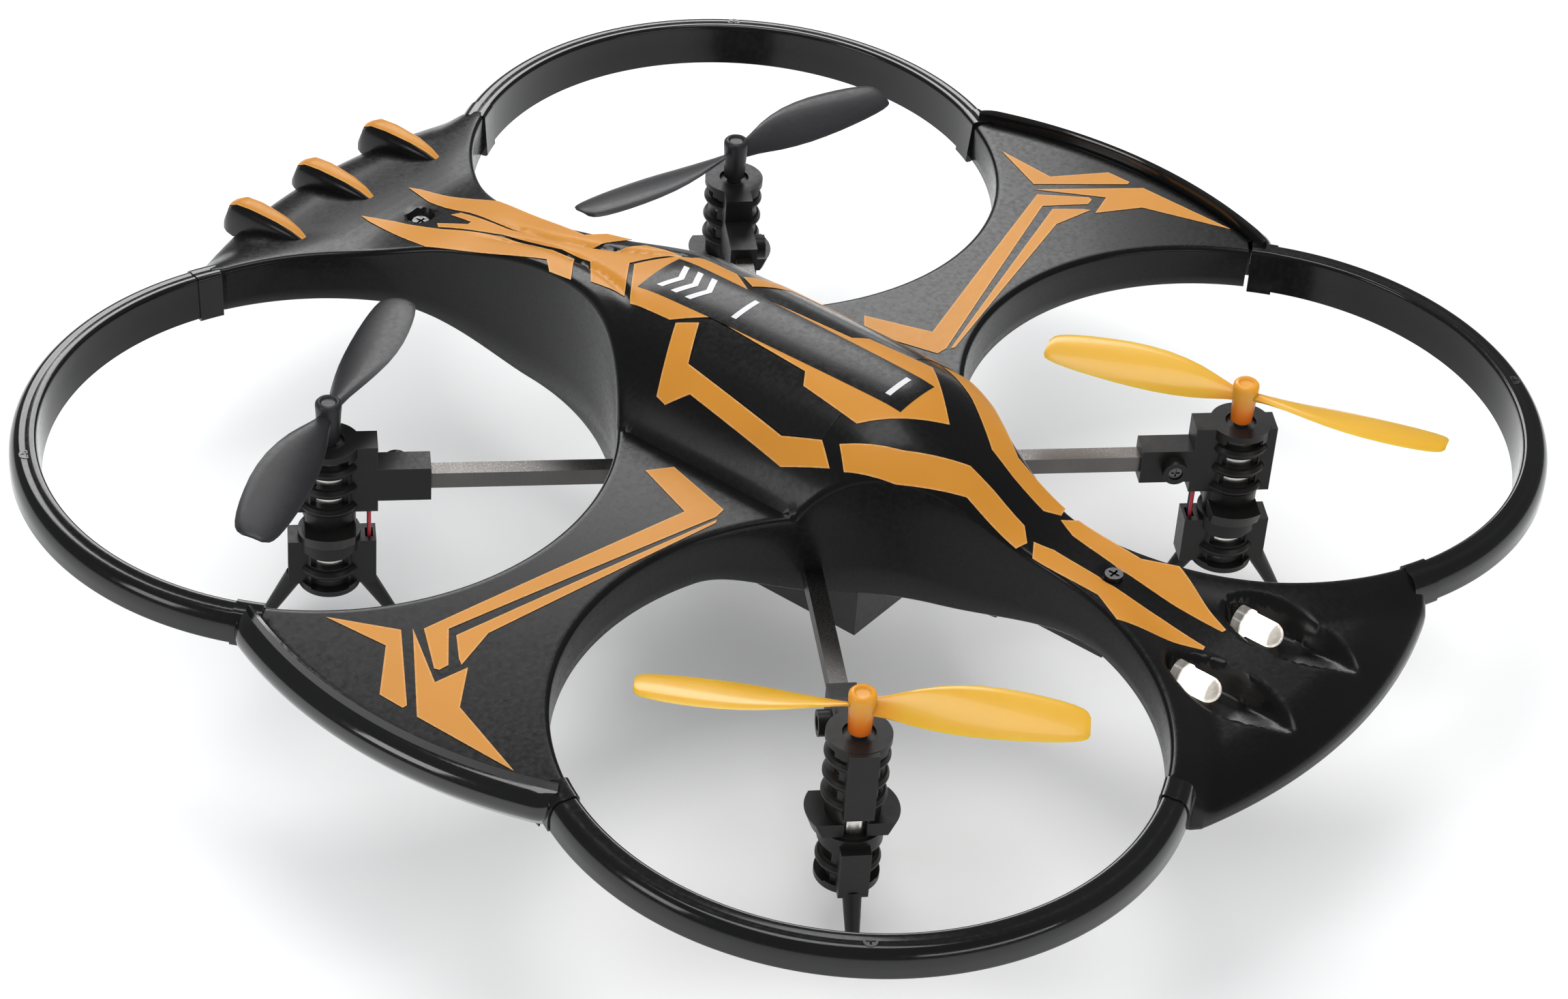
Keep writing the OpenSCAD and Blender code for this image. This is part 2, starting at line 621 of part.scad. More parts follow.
module trim_2d(shapes, sides = [-1, 1])
  for (side = sides) on_side(side) for (shape = shapes) polygon(shape);
module panel_film() intersection() {
  translate([0, 0, ring_z - 10]) linear_extrude(30) children();
  difference() {
    crown_solid(film_high);
    crown_solid(film_low);
  }
}
module canopy_film(high) difference() {
  intersection() {
    translate([0, 0, ring_z - 4]) linear_extrude(40) children();
    canopy_body(-high, 4);
  }
  canopy_body(-film_low, 4);
}
module sticker_left() color(orange) panel_film() trim_2d(SIDE_TRIM, [1]);
module sticker_right() color(orange) panel_film() trim_2d(SIDE_TRIM, [-1]);
module sticker_nose() color(orange) panel_film() trim_2d(NOSE_TRIM);
module sticker_tail() color(orange) panel_film() trim_2d(TAIL_TRIM);
module sticker_canopy() color(orange) canopy_film(film_high) trim_2d(CANOPY_TRIM);
module canopy_label() color(door_grey) canopy_film(0.24)
  translate([0, 4]) square([10.5, 66], center = true);

// ---- electronics and power ----
antenna_start = [0, 18, -7.55];
lead_y = -24;
lead_z = -20.2;
lead_radius = 0.5;

module circuit_board() color([0.05, 0.3, 0.16]) at_ring_tops() difference() {
  block([33, 46, 1], [0, 0, 0.5 - board_bottom]);
  at_board_holes() drum(z = -10, h = 3, r = 0.8, fn = 32);
}
module board_chips() color([0.08, 0.08, 0.09]) at_ring_tops() {
  block([7, 7, 1.2], [0, 4, -7.4]);
  block([4, 4, 1], [-9, -8, -7.5]);
  block([4, 5, 1], [9, -9, -7.5]);
  block([3, 6, 1.8], [9, 12, -7.1]);
  block([6, 4, 3.2], [0, -19, -6.4]);
}
module antenna_wire() color(wire_black) at_ring_tops() translate(antenna_start) union() {
  rotate([-90, 0, 0]) cylinder(h = 58, r = 0.4, $fn = 32);
  sphere(r = 0.4, $fn = 32);
}
module battery() color([0.2, 0.35, 0.6])
  block([battery_width, battery_length, battery_thickness],
    [0, 0, ring_z - 18.2 - battery_thickness / 2]);
// Two leads from the front of the battery, up to the board
module battery_lead() for (side = [-1, 1]) color(side < 0 ? [0.75, 0.1, 0.1] : wire_black)
  translate([side * 1.2, 0, ring_z + lead_z]) {
    translate([0, -22.05, 0]) rotate([90, 0, 0]) cylinder(h = 1.95, r = lead_radius, $fn = 32);
    translate([0, lead_y, 0]) sphere(r = lead_radius, $fn = 32);
    translate([0, lead_y, 0]) cylinder(h = 12.2, r = lead_radius, $fn = 32);
  }
module switch_body() color([0.6, 0.6, 0.62]) at_ring_tops() difference() {
  block([3.6, 9, 4.4], [13.7, 0, switch_z]);
  block([2.4, switch_slot[0], switch_slot[1]], [15.4, 0, switch_z]);
}
module switch_slider() color(cap_grey) translate([0, -1.5, ring_z + switch_z]) union() {
  block([4, 2.6, 1.8], [16.6, 0, 0]);
  for (i = [-1:1]) block([0.6, 0.35, 1.8], [18.5, i * 0.8, 0]);
}

upper_shell();
lower_shell();
bumper_left();
bumper_right();
ring_guard_fl();
ring_guard_fr();
ring_guard_rl();
ring_guard_rr();
arm_hub();
arm_tube_fl();
arm_tube_fr();
arm_tube_rl();
arm_tube_rr();
motor_holder_fl();
motor_holder_fr();
motor_holder_rl();
motor_holder_rr();
foot_housing_fl();
foot_housing_fr();
foot_housing_rl();
foot_housing_rr();
motor_can_fl();
motor_can_fr();
motor_can_rl();
motor_can_rr();
motor_cap_fl();
motor_cap_fr();
motor_cap_rl();
motor_cap_rr();
motor_wires_fl();
motor_wires_fr();
motor_wires_rl();
motor_wires_rr();
motor_shaft_fl();
motor_shaft_fr();
motor_shaft_rl();
motor_shaft_rr();
propeller_fl();
propeller_fr();
propeller_rl();
propeller_rr();
shell_screws();
ring_screws();
clamp_screws();
headlight_leds();
sticker_canopy();
sticker_nose();
sticker_tail();
sticker_left();
sticker_right();
canopy_label();
circuit_board();
board_chips();
antenna_wire();
battery();
battery_lead();
battery_door();
switch_body();
switch_slider();
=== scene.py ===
"""Small quadcopter with four guard rings round its propellers.

+Z is up, the nose points along -Y, and the craft's left side is +X. The frame's CAD pieces carry
the chassis, motors and wiring; this script adds the shell, rings, bumpers, propellers, orange trim
and a studio. Shapes are worked out in millimetres and heights are measured from the top of the
guard rings; meshes are stored in metres.
"""

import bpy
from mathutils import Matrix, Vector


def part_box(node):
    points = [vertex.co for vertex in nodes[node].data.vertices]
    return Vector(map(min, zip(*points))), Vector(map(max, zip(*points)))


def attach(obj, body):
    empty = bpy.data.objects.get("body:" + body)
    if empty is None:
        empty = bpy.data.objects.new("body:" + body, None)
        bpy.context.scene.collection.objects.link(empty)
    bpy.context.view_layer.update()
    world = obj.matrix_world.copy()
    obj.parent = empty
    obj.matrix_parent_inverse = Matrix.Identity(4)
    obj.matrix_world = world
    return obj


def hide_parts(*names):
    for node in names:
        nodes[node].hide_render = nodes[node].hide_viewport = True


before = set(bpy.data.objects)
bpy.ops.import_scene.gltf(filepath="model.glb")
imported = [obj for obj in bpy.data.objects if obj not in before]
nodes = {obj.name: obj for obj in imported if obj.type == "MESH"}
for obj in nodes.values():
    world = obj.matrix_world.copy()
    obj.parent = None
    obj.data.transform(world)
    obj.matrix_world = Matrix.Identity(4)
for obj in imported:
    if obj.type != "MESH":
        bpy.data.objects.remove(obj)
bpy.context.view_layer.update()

import math

import bmesh
import bpy
import numpy as np
from mathutils import Matrix, Vector

MM = 0.001

# ------------------------------------------------------------------ sizes read from the frame, mm
guard_low, guard_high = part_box("ring_guard_fl")
can_low, can_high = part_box("motor_can_fl")
screws_low, screws_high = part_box("shell_screws")
motor_axis = (can_low + can_high) / 2

RING_TOP = guard_high.z / MM
RING_DEPTH = (guard_high.z - guard_low.z) / MM
MOTOR_X, MOTOR_Y = motor_axis.x / MM, -motor_axis.y / MM      # motor axes at +-X, +-Y
RING_R = guard_high.x / MM - MOTOR_X                          # outer radius of a guard ring
HOLE_R = RING_R - 5.5
SCREW_R = 1.8
SCREW_Y = (screws_low.y / MM + SCREW_R, screws_high.y / MM - SCREW_R)

# corner: signs of its x and y
CORNERS = {"fl": (1, -1), "fr": (-1, -1), "rl": (1, 1), "rr": (-1, 1)}

SIDE_R, SIDE_X = 94.4, 30.1      # arc of a side panel's edge, and the x of its centre
NOSE_R, NOSE_END = 120.0, 132.3  # arc of the nose and tail edges, and the |y| where it ends
# directions of the two joints between ring and shell, from the motor axis; positive is outboard
SIDE_JOINT = (50.9, -27.5)
NOSE_JOINT = (-22.0, 54.0)


# ------------------------------------------------------------------ shell outline and height
# All of these take x and y in mm. The *_inside functions are positive inside the shell.
def smooth_min(a, b, blend):
    h = np.clip(0.5 + 0.5 * (b - a) / blend, 0, 1)
    return b * (1 - h) + a * h - blend * h * (1 - h)


def smooth_step(start, end, value):
    t = np.clip((value - start) / (end - start), 0, 1)
    return t * t * (3 - 2 * t)


def outline_inside(x, y):
    nose = NOSE_R - np.hypot(x, np.abs(y) - (NOSE_END - NOSE_R))
    nose = np.minimum(nose, 44 - np.abs(x))
    side = np.minimum(SIDE_R - np.hypot(np.abs(x) - SIDE_X, y), 41.5 - np.abs(y))
    disc = RING_R - np.hypot(np.abs(x) - MOTOR_X, np.abs(y) - MOTOR_Y)
    return np.maximum(np.maximum(nose, side), disc)


def hole_inside(x, y):
    return np.hypot(np.abs(x) - MOTOR_X, np.abs(y) - MOTOR_Y) - HOLE_R


def joint_inside(x, y):
    """Distance from the sector filled by the separate guard ring, less a 0.1 mm gap."""
    out_x, out_y = np.abs(x) - MOTOR_X, np.abs(y) - MOTOR_Y
    past_side = (SIDE_JOINT[0] * out_y - SIDE_JOINT[1] * out_x) / math.hypot(*SIDE_JOINT)
    past_nose = (NOSE_JOINT[1] * out_x - NOSE_JOINT[0] * out_y) / math.hypot(*NOSE_JOINT)
    return -np.minimum(past_side, past_nose) - 0.1


def shell_inside(x, y):
    d = smooth_min(outline_inside(x, y), hole_inside(x, y), 1.2)
    return smooth_min(d, joint_inside(x, y), 1.0)


# canopy bubble along the craft: (y, height of its ridge over the panels)
RIDGE = np.array([
    (-140, 0), (-90, 0), (-78, 0), (-70, 0.2), (-64, 0.8), (-59, 2.6), (-53.2, 6.0),
    (-45.1, 11.2), (-37.1, 14.8), (-28.9, 17.4), (-13.9, 17.6), (1.7, 17.6), (17.6, 17.6),
    (33.1, 17.2), (52, 13.0), (64.5, 10.4), (77.2, 7.0), (85.8, 5.2), (93, 2.8), (99, 1.0),
    (106, 0), (140, 0),
]).T
# (y, half width)
HALF_WIDTH = np.array([
    (-140, 7), (-72, 8), (-66, 9.5), (-60, 12.0), (-50, 16.5), (-41, 21.5), (-34, 26.0),
    (-27, 28), (-10, 28.4), (20, 28.4), (30, 28), (45, 30), (140, 30),
]).T


def smooth_interp(y, stations, values):
    """Linear interpolation with rounded knots: a weighted mean of shifted lookups."""
    total = 0
    for shift, weight in ((-5, 0.1), (-2.5, 0.24), (0, 0.32), (2.5, 0.24), (5, 0.1)):
        total = total + weight * np.interp(y + shift, stations, values)
    return total


def panel_height(x, y):
    """The panels are highest near the middle and fall towards the nose."""
    fall = 4.0 * (0.35 + 0.65 * smooth_step(0.5, 10, hole_inside(x, y)))
    return 1.8 - 0.00016 * x * x - smooth_step(-62, -104, y) * fall


def canopy_height(x, y):
    across = np.clip(np.abs(x) / smooth_interp(y, *HALF_WIDTH), 0, 1)
    section = np.power(np.clip(1 - np.power(across, 2.2), 0, 1), 0.8)
    return smooth_interp(y, *RIDGE) * section


def scoop_inside(x, y):
    """Distance inside the teardrop headlight scoops."""
    rear_y, length, half_width, widest = -98.0, 30.2, 6.8, 0.42
    t = (rear_y - y) / length                      # 0 at the rear end, 1 at the front end
    centre_x = 10.5 + 1.1 * np.clip(t, 0, 1)
    back = 1 - np.clip((widest - t) / widest, 0, 1) ** 2
    fore = 1 - np.clip((t - widest) / (1 - widest), 0, 1) ** 1.9
    d = half_width * np.sqrt(back) * fore - np.abs(np.abs(x) - centre_x)
    return np.where((t > 0) & (t < 1), d, -np.abs(d) - 1)


def edge_roll(inside, radius, share):
    """Drop of a rounded edge; share is the part of the full quarter round that is used."""
    near = np.clip(radius - inside, 0, radius)
    return radius - np.sqrt(np.clip(radius * radius - near ** 2 * share, 0, None))


def height(x, y):
    z = panel_height(x, y) + canopy_height(x, y)
    # nose and tail roll down to their edges, but by the openings stay level with the rings
    edge = outline_inside(x, y)
    rim = hole_inside(x, y)
    away = smooth_step(1.0, 9.0, rim)
    lip = (1 - away) * edge_roll(edge, 2.2, 0.9)
    z = z - smooth_step(-104, -122, y) * (away * edge_roll(edge, 11.0, 0.62) + lip)
    z = z - smooth_step(104, 128, y) * 2.6 * (0.6 + 0.4 * smooth_step(0.5, 10, rim))
    z = z - smooth_step(110, 120, y) * (away * edge_roll(edge, 9.0, 0.5) + lip)
    # headlight scoops, shallower towards the front
    scoop = smooth_step(-0.2, 2.4, scoop_inside(x, y))
    z = z - (0.6 + 4.2 * smooth_step(-130, -113, y)) * scoop
    # crease beside the rear neck, 6 mm in from the rim of each rear opening
    crease = np.exp(-((rim - 6.0) / 0.9) ** 2)
    z = z - 0.9 * crease * smooth_step(84, 70, y) * smooth_step(31, 40, y)
    # seats of the two shell screws
    for screw_y in SCREW_Y:
        seat = smooth_step(3.1, 2.1, np.hypot(x, y - screw_y))
        z = z * (1 - seat) + np.minimum(z, 0.35) * seat
    return z


def wall_bottom(x, y):
    """The wall is as deep as the rings, and 17 mm deep along the middle of the body."""
    middle = smooth_step(46, 22, np.abs(x))
    middle = middle * (1 - smooth_step(62, 96, y)) * (1 - smooth_step(46, 84, -y))
    return -RING_DEPTH - (17.0 - RING_DEPTH) * middle


# ------------------------------------------------------------------ mesh helpers
def link_object(name, mesh):
    ob = bpy.data.objects.new(name, mesh)
    bpy.context.scene.collection.objects.link(ob)
    return ob


def smooth_by_angle(ob, degrees):
    mesh = ob.data
    for p in mesh.polygons:
        p.use_smooth = True
    bm = bmesh.new()
    bm.from_mesh(mesh)
    limit = math.radians(degrees)
    for e in bm.edges:
        e.smooth = len(e.link_faces) != 2 or e.calc_face_angle(0.0) < limit
    bm.to_mesh(mesh)
    bm.free()


def new_object(name, verts, faces, smooth_angle):
    """Object from vertices in mm; doubled vertices are merged and normals turned outwards."""
    mesh = bpy.data.meshes.new(name)
    mesh.from_pydata((np.asarray(verts, float) * MM).tolist(), [], faces)
    mesh.validate()
    bm = bmesh.new()
    bm.from_mesh(mesh)
    bmesh.ops.remove_doubles(bm, verts=bm.verts, dist=1e-6)
    bmesh.ops.recalc_face_normals(bm, faces=bm.faces)
    bm.to_mesh(mesh)
    bm.free()
    ob = link_object(name, mesh)
    smooth_by_angle(ob, smooth_angle)
    return ob


def set_material(ob, *materials):
    ob.data.materials.clear()
    for material in materials:
        ob.data.materials.append(material)


def dress(ob, material, mover="airframe", node=None):
    """Parent the piece to what it rides on, hide the frame part it replaces, and add its material.
    """
    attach(ob, mover)
    if node:
        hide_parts(node)
    set_material(ob, material)


def loft_faces(base, rows, size):
    """Quads between consecutive closed rows of vertices that start at index base."""
    faces = []
    for i in range(rows - 1):
        low, high = base + i * size, base + (i + 1) * size
        for j in range(size):
            k = (j + 1) % size
            faces.append((low + j, low + k, high + k, high + j))
    return faces


def cap_face(start, size, flip=False):
    row = range(start, start + size)
    return tuple(reversed(row)) if flip else tuple(row)


def arc_points(cx, cy, radius, start, end, n):
    """n + 1 points on an arc; angles in degrees."""
    angles = [math.radians(start + (end - start) * i / n) for i in range(n + 1)]
    return [(cx + radius * math.cos(a), cy + radius * math.sin(a)) for a in angles]


def sweep_arc(name, cx, cy, start, end, profile, n, taper=None):
    """Turn a closed (radius, z) profile about a vertical axis between two angles, radians."""
    verts = []
    size = len(profile)
    for i in range(n + 1):
        t = i / n
        a = start + (end - start) * t
        for r, z in profile:
            if taper:
                r, z = taper(t, r, z)
            verts.append((cx + r * math.cos(a), cy + r * math.sin(a), RING_TOP + z))
    faces = loft_faces(0, n + 1, size)
    faces += [cap_face(0, size, flip=True), cap_face(n * size, size)]
    return new_object(name, verts, faces, 38)


# ------------------------------------------------------------------ material helpers
def feed(tree, socket, value):
    """Link a node's output to the socket, or set the socket to an RGB colour or a number."""
    if isinstance(value, bpy.types.NodeSocket):
        tree.links.new(value, socket)
    elif isinstance(value, tuple):
        socket.default_value = (*value, 1)
    else:
        socket.default_value = value


def new_material(name):
    material = bpy.data.materials.new(name)
    material.use_nodes = True
    tree = material.node_tree
    tree.nodes.clear()
    output = tree.nodes.new("ShaderNodeOutputMaterial")
    bsdf = tree.nodes.new("ShaderNodeBsdfPrincipled")
    tree.links.new(bsdf.outputs[0], output.inputs[0])
    coord = tree.nodes.new("ShaderNodeTexCoord").outputs["Object"]
    return material, tree, bsdf, coord


def add_noise(tree, coord, scale, detail, rough):
    node = tree.nodes.new("ShaderNodeTexNoise")
    node.inputs["Scale"].default_value = scale
    node.inputs["Detail"].default_value = detail
    node.inputs["Roughness"].default_value = rough
    tree.links.new(coord, node.inputs["Vector"])
    return node.outputs["Fac"]


def map_range(tree, value, span, to):
    """Map the span (low, high) of value onto the pair to."""
    node = tree.nodes.new("ShaderNodeMapRange")
    node.inputs["From Min"].default_value, node.inputs["From Max"].default_value = span
    node.inputs["To Min"].default_value, node.inputs["To Max"].default_value = to
    tree.links.new(value, node.inputs["Value"])
    return node.outputs["Result"]


def mix_colour(tree, factor, a, b):
    node = tree.nodes.new("ShaderNodeMix")
    node.data_type = "RGBA"
    feed(tree, node.inputs[6], a)
    feed(tree, node.inputs[7], b)
    tree.links.new(factor, node.inputs[0])
    return node.outputs[2]


def add_math(tree, operation, *values):
    node = tree.nodes.new("ShaderNodeMath")
    node.operation = operation
    for socket, value in zip(node.inputs, values):
        feed(tree, socket, value)
    return node.outputs[0]


def add_bump(tree, bsdf, relief, strength, distance):
    node = tree.nodes.new("ShaderNodeBump")
    node.inputs["Strength"].default_value = strength
    node.inputs["Distance"].default_value = distance
    tree.links.new(relief, node.inputs["Height"])
    tree.links.new(node.outputs[0], bsdf.inputs["Normal"])


def edge_mask(tree):
    """1 along edges, for wear and a painted highlight: bevelled normal against the true one."""
    bevel_node = tree.nodes.new("ShaderNodeBevel")
    bevel_node.samples = 4
    bevel_node.inputs["Radius"].default_value = 0.0006
    geometry = tree.nodes.new("ShaderNodeNewGeometry")
    dot = tree.nodes.new("ShaderNodeVectorMath")
    dot.operation = "DOT_PRODUCT"
    tree.links.new(bevel_node.outputs[0], dot.inputs[0])
    tree.links.new(geometry.outputs["Normal"], dot.inputs[1])
    return map_range(tree, dot.outputs["Value"], span=(0.97, 0.75), to=(0.0, 1.0))


def plastic(name, tone_a, tone_b, rough, bump=0.15, coat=0.0, wear_and_highlight=0.25, wear_and_highlight_tone=None,
            grain=4200.0, spec=0.5):
    """Moulded plastic mottled between two tones; edges turn paler as wear and painted highlight.
    """
    material, tree, bsdf, coord = new_material(name)
    bsdf.inputs["Specular IOR Level"].default_value = spec
    mottle = add_noise(tree, coord, scale=45.0, detail=3.0, rough=0.5)
    patches = add_noise(tree, coord, scale=900.0, detail=5.0, rough=0.6)
    relief = add_noise(tree, coord, scale=grain, detail=2.0, rough=0.5)
    blend = map_range(tree, mottle, span=(0.35, 0.65), to=(0.0, 1.0))
    colour = mix_colour(tree, blend, tone_a, tone_b)
    # paler edges: partly rubbed wear, partly a painted highlight along the rounded edges
    if wear_and_highlight > 0:
        edges = edge_mask(tree)
        amount = map_range(tree, patches, span=(0.4, 0.7), to=(0.3 * wear_and_highlight, wear_and_highlight))
        wear_and_highlight_tone = wear_and_highlight_tone or tuple(min(1, x * 3 + 0.03) for x in tone_a)
        colour = mix_colour(tree, add_math(tree, "MULTIPLY", edges, amount), colour, wear_and_highlight_tone)
    feed(tree, bsdf.inputs["Base Color"], colour)
    rough_range = (rough - 0.06, rough + 0.06)
    feed(tree, bsdf.inputs["Roughness"],
         map_range(tree, patches, span=(0.3, 0.7), to=rough_range))
    bsdf.inputs["Coat Weight"].default_value = coat
    bsdf.inputs["Coat Roughness"].default_value = 0.08
    add_bump(tree, bsdf, relief, strength=bump, distance=0.00006)
    return material


def metal(name, colour, rough, stretch=(1, 1, 1), streak=1500.0):
    """Metal with a fine grain; stretch scales the grain's coordinates into streaks."""
    material, tree, bsdf, coord = new_material(name)
    mapping = tree.nodes.new("ShaderNodeMapping")
    mapping.inputs["Scale"].default_value = stretch
    tree.links.new(coord, mapping.inputs["Vector"])
    grain = add_noise(tree, mapping.outputs[0], scale=streak, detail=4.0, rough=0.6)
    mottle = add_noise(tree, coord, scale=120.0, detail=3.0, rough=0.5)
    blend = map_range(tree, mottle, span=(0.3, 0.7), to=(0.0, 1.0))
    darker = tuple(x * 0.82 for x in colour)
    feed(tree, bsdf.inputs["Base Color"], mix_colour(tree, blend, darker, colour))
    bsdf.inputs["Metallic"].default_value = 1.0
    feed(tree, bsdf.inputs["Roughness"],
         map_range(tree, grain, span=(0.3, 0.7), to=(rough * 0.7, rough * 1.35)))
    add_bump(tree, bsdf, grain, strength=0.1, distance=0.00004)
    return material


def yellow_propeller():
    """Translucent yellow, tinted orange round the front motor axes."""
    material, tree, bsdf, coord = new_material("prop_yellow")
    mottle = add_noise(tree, coord, scale=60.0, detail=3.0, rough=0.5)
    split = tree.nodes.new("ShaderNodeSeparateXYZ")
    tree.links.new(coord, split.inputs[0])
    # distance from the nearest front motor axis
    side_x = add_math(tree, "ABSOLUTE", split.outputs["X"])
    from_x = add_math(tree, "SUBTRACT", side_x, MOTOR_X * MM)
    from_y = add_math(tree, "ADD", split.outputs["Y"], MOTOR_Y * MM)
    offset = tree.nodes.new("ShaderNodeCombineXYZ")
    tree.links.new(from_x, offset.inputs[0])
    tree.links.new(from_y, offset.inputs[1])
    length = tree.nodes.new("ShaderNodeVectorMath")
    length.operation = "LENGTH"
    tree.links.new(offset.outputs[0], length.inputs[0])
    near = map_range(tree, length.outputs["Value"], span=(0.0022, 0.0085), to=(1.0, 0.0))
    low = map_range(tree, split.outputs["Z"], to=(0.35, 1.0),
                    span=((RING_TOP + 3.5) * MM, (RING_TOP - 1.5) * MM))
    hub = add_math(tree, "MULTIPLY", near, low)
    blend = map_range(tree, mottle, span=(0.35, 0.65), to=(0, 1))
    yellow = mix_colour(tree, blend, (0.60, 0.335, 0.016), (0.64, 0.365, 0.02))
    orange = (0.66, 0.15, 0.01)
    feed(tree, bsdf.inputs["Base Color"], mix_colour(tree, hub, yellow, orange))
    bsdf.inputs["Roughness"].default_value = 0.33    # applies only if the link below is cut
    feed(tree, bsdf.inputs["Roughness"],
         map_range(tree, mottle, span=(0.3, 0.7), to=(0.28, 0.4)))
    bsdf.inputs["Subsurface Weight"].default_value = 0.35
    bsdf.inputs["Subsurface Radius"].default_value = (0.004, 0.0025, 0.0006)
    bsdf.inputs["Subsurface Scale"].default_value = 0.6
    bsdf.inputs["Coat Weight"].default_value = 0.15
    relief = add_noise(tree, coord, scale=3200.0, detail=2.0, rough=0.5)
    add_bump(tree, bsdf, relief, strength=0.1, distance=0.00005)
    return material


def lit_lamp():
    """Clear lamp: only the chip end glows, and it hardly lights the scoop round it."""
    material, tree, bsdf, coord = new_material("lamp_lit")
    speckle = add_noise(tree, coord, scale=700.0, detail=2.0, rough=0.5)
    bsdf.inputs["Base Color"].default_value = (0.5, 0.48, 0.46, 1)
    bsdf.inputs["Roughness"].default_value = 0.05
    bsdf.inputs["Transmission Weight"].default_value = 0.9
    bsdf.inputs["Emission Color"].default_value = (1.0, 0.93, 0.84, 1)
    split = tree.nodes.new("ShaderNodeSeparateXYZ")
    tree.links.new(coord, split.inputs[0])
    # distance along Y from the chips, which lie 0.1052 m ahead of the origin
    from_chip = add_math(tree, "ADD", split.outputs["Y"], 0.1052)
    from_chip = add_math(tree, "ABSOLUTE", from_chip)
    spot = map_range(tree, from_chip, span=(0.0016, 0.0032), to=(1.0, 0.03))
    path = tree.nodes.new("ShaderNodeLightPath")
    seen = map_range(tree, path.outputs["Is Camera Ray"], span=(0.0, 1.0), to=(0.12, 1.0))
    glow = add_math(tree, "MULTIPLY", spot, seen)
    strength = map_range(tree, speckle, span=(0.3, 0.7), to=(3.0, 6.0))
    feed(tree, bsdf.inputs["Emission Strength"], add_math(tree, "MULTIPLY", glow, strength))
    return material


# ------------------------------------------------------------------ materials: two tones, finish
# the edge wear in the materials below paints paler edges: partly wear, partly a painted highlight
SHELL = plastic("shell_satin_black", (0.0042, 0.0042, 0.0044), (0.006, 0.006, 0.0062),
                rough=0.25, bump=0.04, coat=0.05, wear_and_highlight=0.0, spec=0.22)
RING = plastic("ring_gloss_black", (0.0045, 0.0045, 0.0048), (0.006, 0.006, 0.0063),
               rough=0.16, bump=0.06, coat=0.3, wear_and_highlight=0.2, spec=0.35)
BUMPER = plastic("bumper_gloss_black", (0.004, 0.004, 0.0043), (0.0055, 0.0055, 0.0058),
                 rough=0.12, bump=0.03, coat=0.5, wear_and_highlight=0.15)
POD = plastic("pod_black", (0.0085, 0.008, 0.008), (0.0115, 0.011, 0.0105),
              rough=0.38, bump=0.2, coat=0.02, wear_and_highlight=0.35, spec=0.25)
CHASSIS = plastic("chassis_black", (0.012, 0.012, 0.0125), (0.017, 0.017, 0.017),
                  rough=0.45, bump=0.35, wear_and_highlight=0.3)
# black of the motor caps, also laid on the can end faces as painted shade
CAP_AND_PAINTED_SHADE = plastic("cap_black", (0.02, 0.02, 0.021), (0.026, 0.026, 0.027), rough=0.5)
CHIP = plastic("chip_black", (0.018, 0.018, 0.019), (0.022, 0.022, 0.023), rough=0.42)
BOARD = plastic("board_green", (0.008, 0.085, 0.03), (0.01, 0.11, 0.038), rough=0.3, coat=0.4)
BATTERY = plastic("battery_wrap", (0.06, 0.16, 0.36), (0.08, 0.2, 0.42), rough=0.28, coat=0.3)
# the pale cream edges of the trim films are partly wear and partly a painted highlight
ORANGE = plastic("trim_orange", (0.50, 0.205, 0.017), (0.47, 0.19, 0.015), rough=0.40,
                 bump=0.12, coat=0.04, wear_and_highlight=0.6, wear_and_highlight_tone=(0.9, 0.68, 0.4), grain=2600.0, spec=0.25)
LABEL = plastic("label_dark", (0.004, 0.004, 0.0046), (0.0055, 0.0055, 0.006),
                rough=0.26, coat=0.05, spec=0.2)
WINDOW = plastic("window_dark", (0.005, 0.005, 0.0053), (0.0065, 0.0065, 0.0068),
                 rough=0.22, coat=0.12, spec=0.3)
MARK = plastic("label_mark_grey", (0.5, 0.5, 0.51), (0.56, 0.56, 0.57), rough=0.35)
SWITCH = plastic("switch_black", (0.016, 0.016, 0.016), (0.02, 0.02, 0.02), rough=0.5)
BLACK_PROP = plastic("prop_black", (0.016, 0.016, 0.018), (0.022, 0.022, 0.0235),
                     rough=0.4, bump=0.1, coat=0.05, wear_and_highlight=0.3, spec=0.35)
RED_WIRE = plastic("wire_red", (0.45, 0.025, 0.04), (0.5, 0.035, 0.05), rough=0.42, wear_and_highlight=0.0)
BLUE_WIRE = plastic("wire_dark_blue", (0.012, 0.016, 0.07), (0.016, 0.02, 0.085),
                    rough=0.42, wear_and_highlight=0.0)
BLACK_WIRE = plastic("wire_black", (0.015, 0.015, 0.015), (0.02, 0.02, 0.02),
                     rough=0.45, wear_and_highlight=0.0)
ARM_METAL = metal("arm_metal", (0.15, 0.143, 0.138), rough=0.34, stretch=(1, 1, 0.04),
                  streak=2600.0)
CAN = metal("motor_can", (0.86, 0.84, 0.8), rough=0.2, stretch=(0.1, 0.1, 3.0), streak=2200.0)
SHAFT = metal("shaft_steel", (0.6, 0.6, 0.61), rough=0.22, stretch=(0.1, 0.1, 3.0),
              streak=2200.0)
SCREW = metal("screw_dark", (0.13, 0.13, 0.135), rough=0.35)
PLATED = metal("switch_plated", (0.6, 0.6, 0.6), rough=0.3)
YELLOW_PROP = yellow_propeller()
LAMP = lit_lamp()


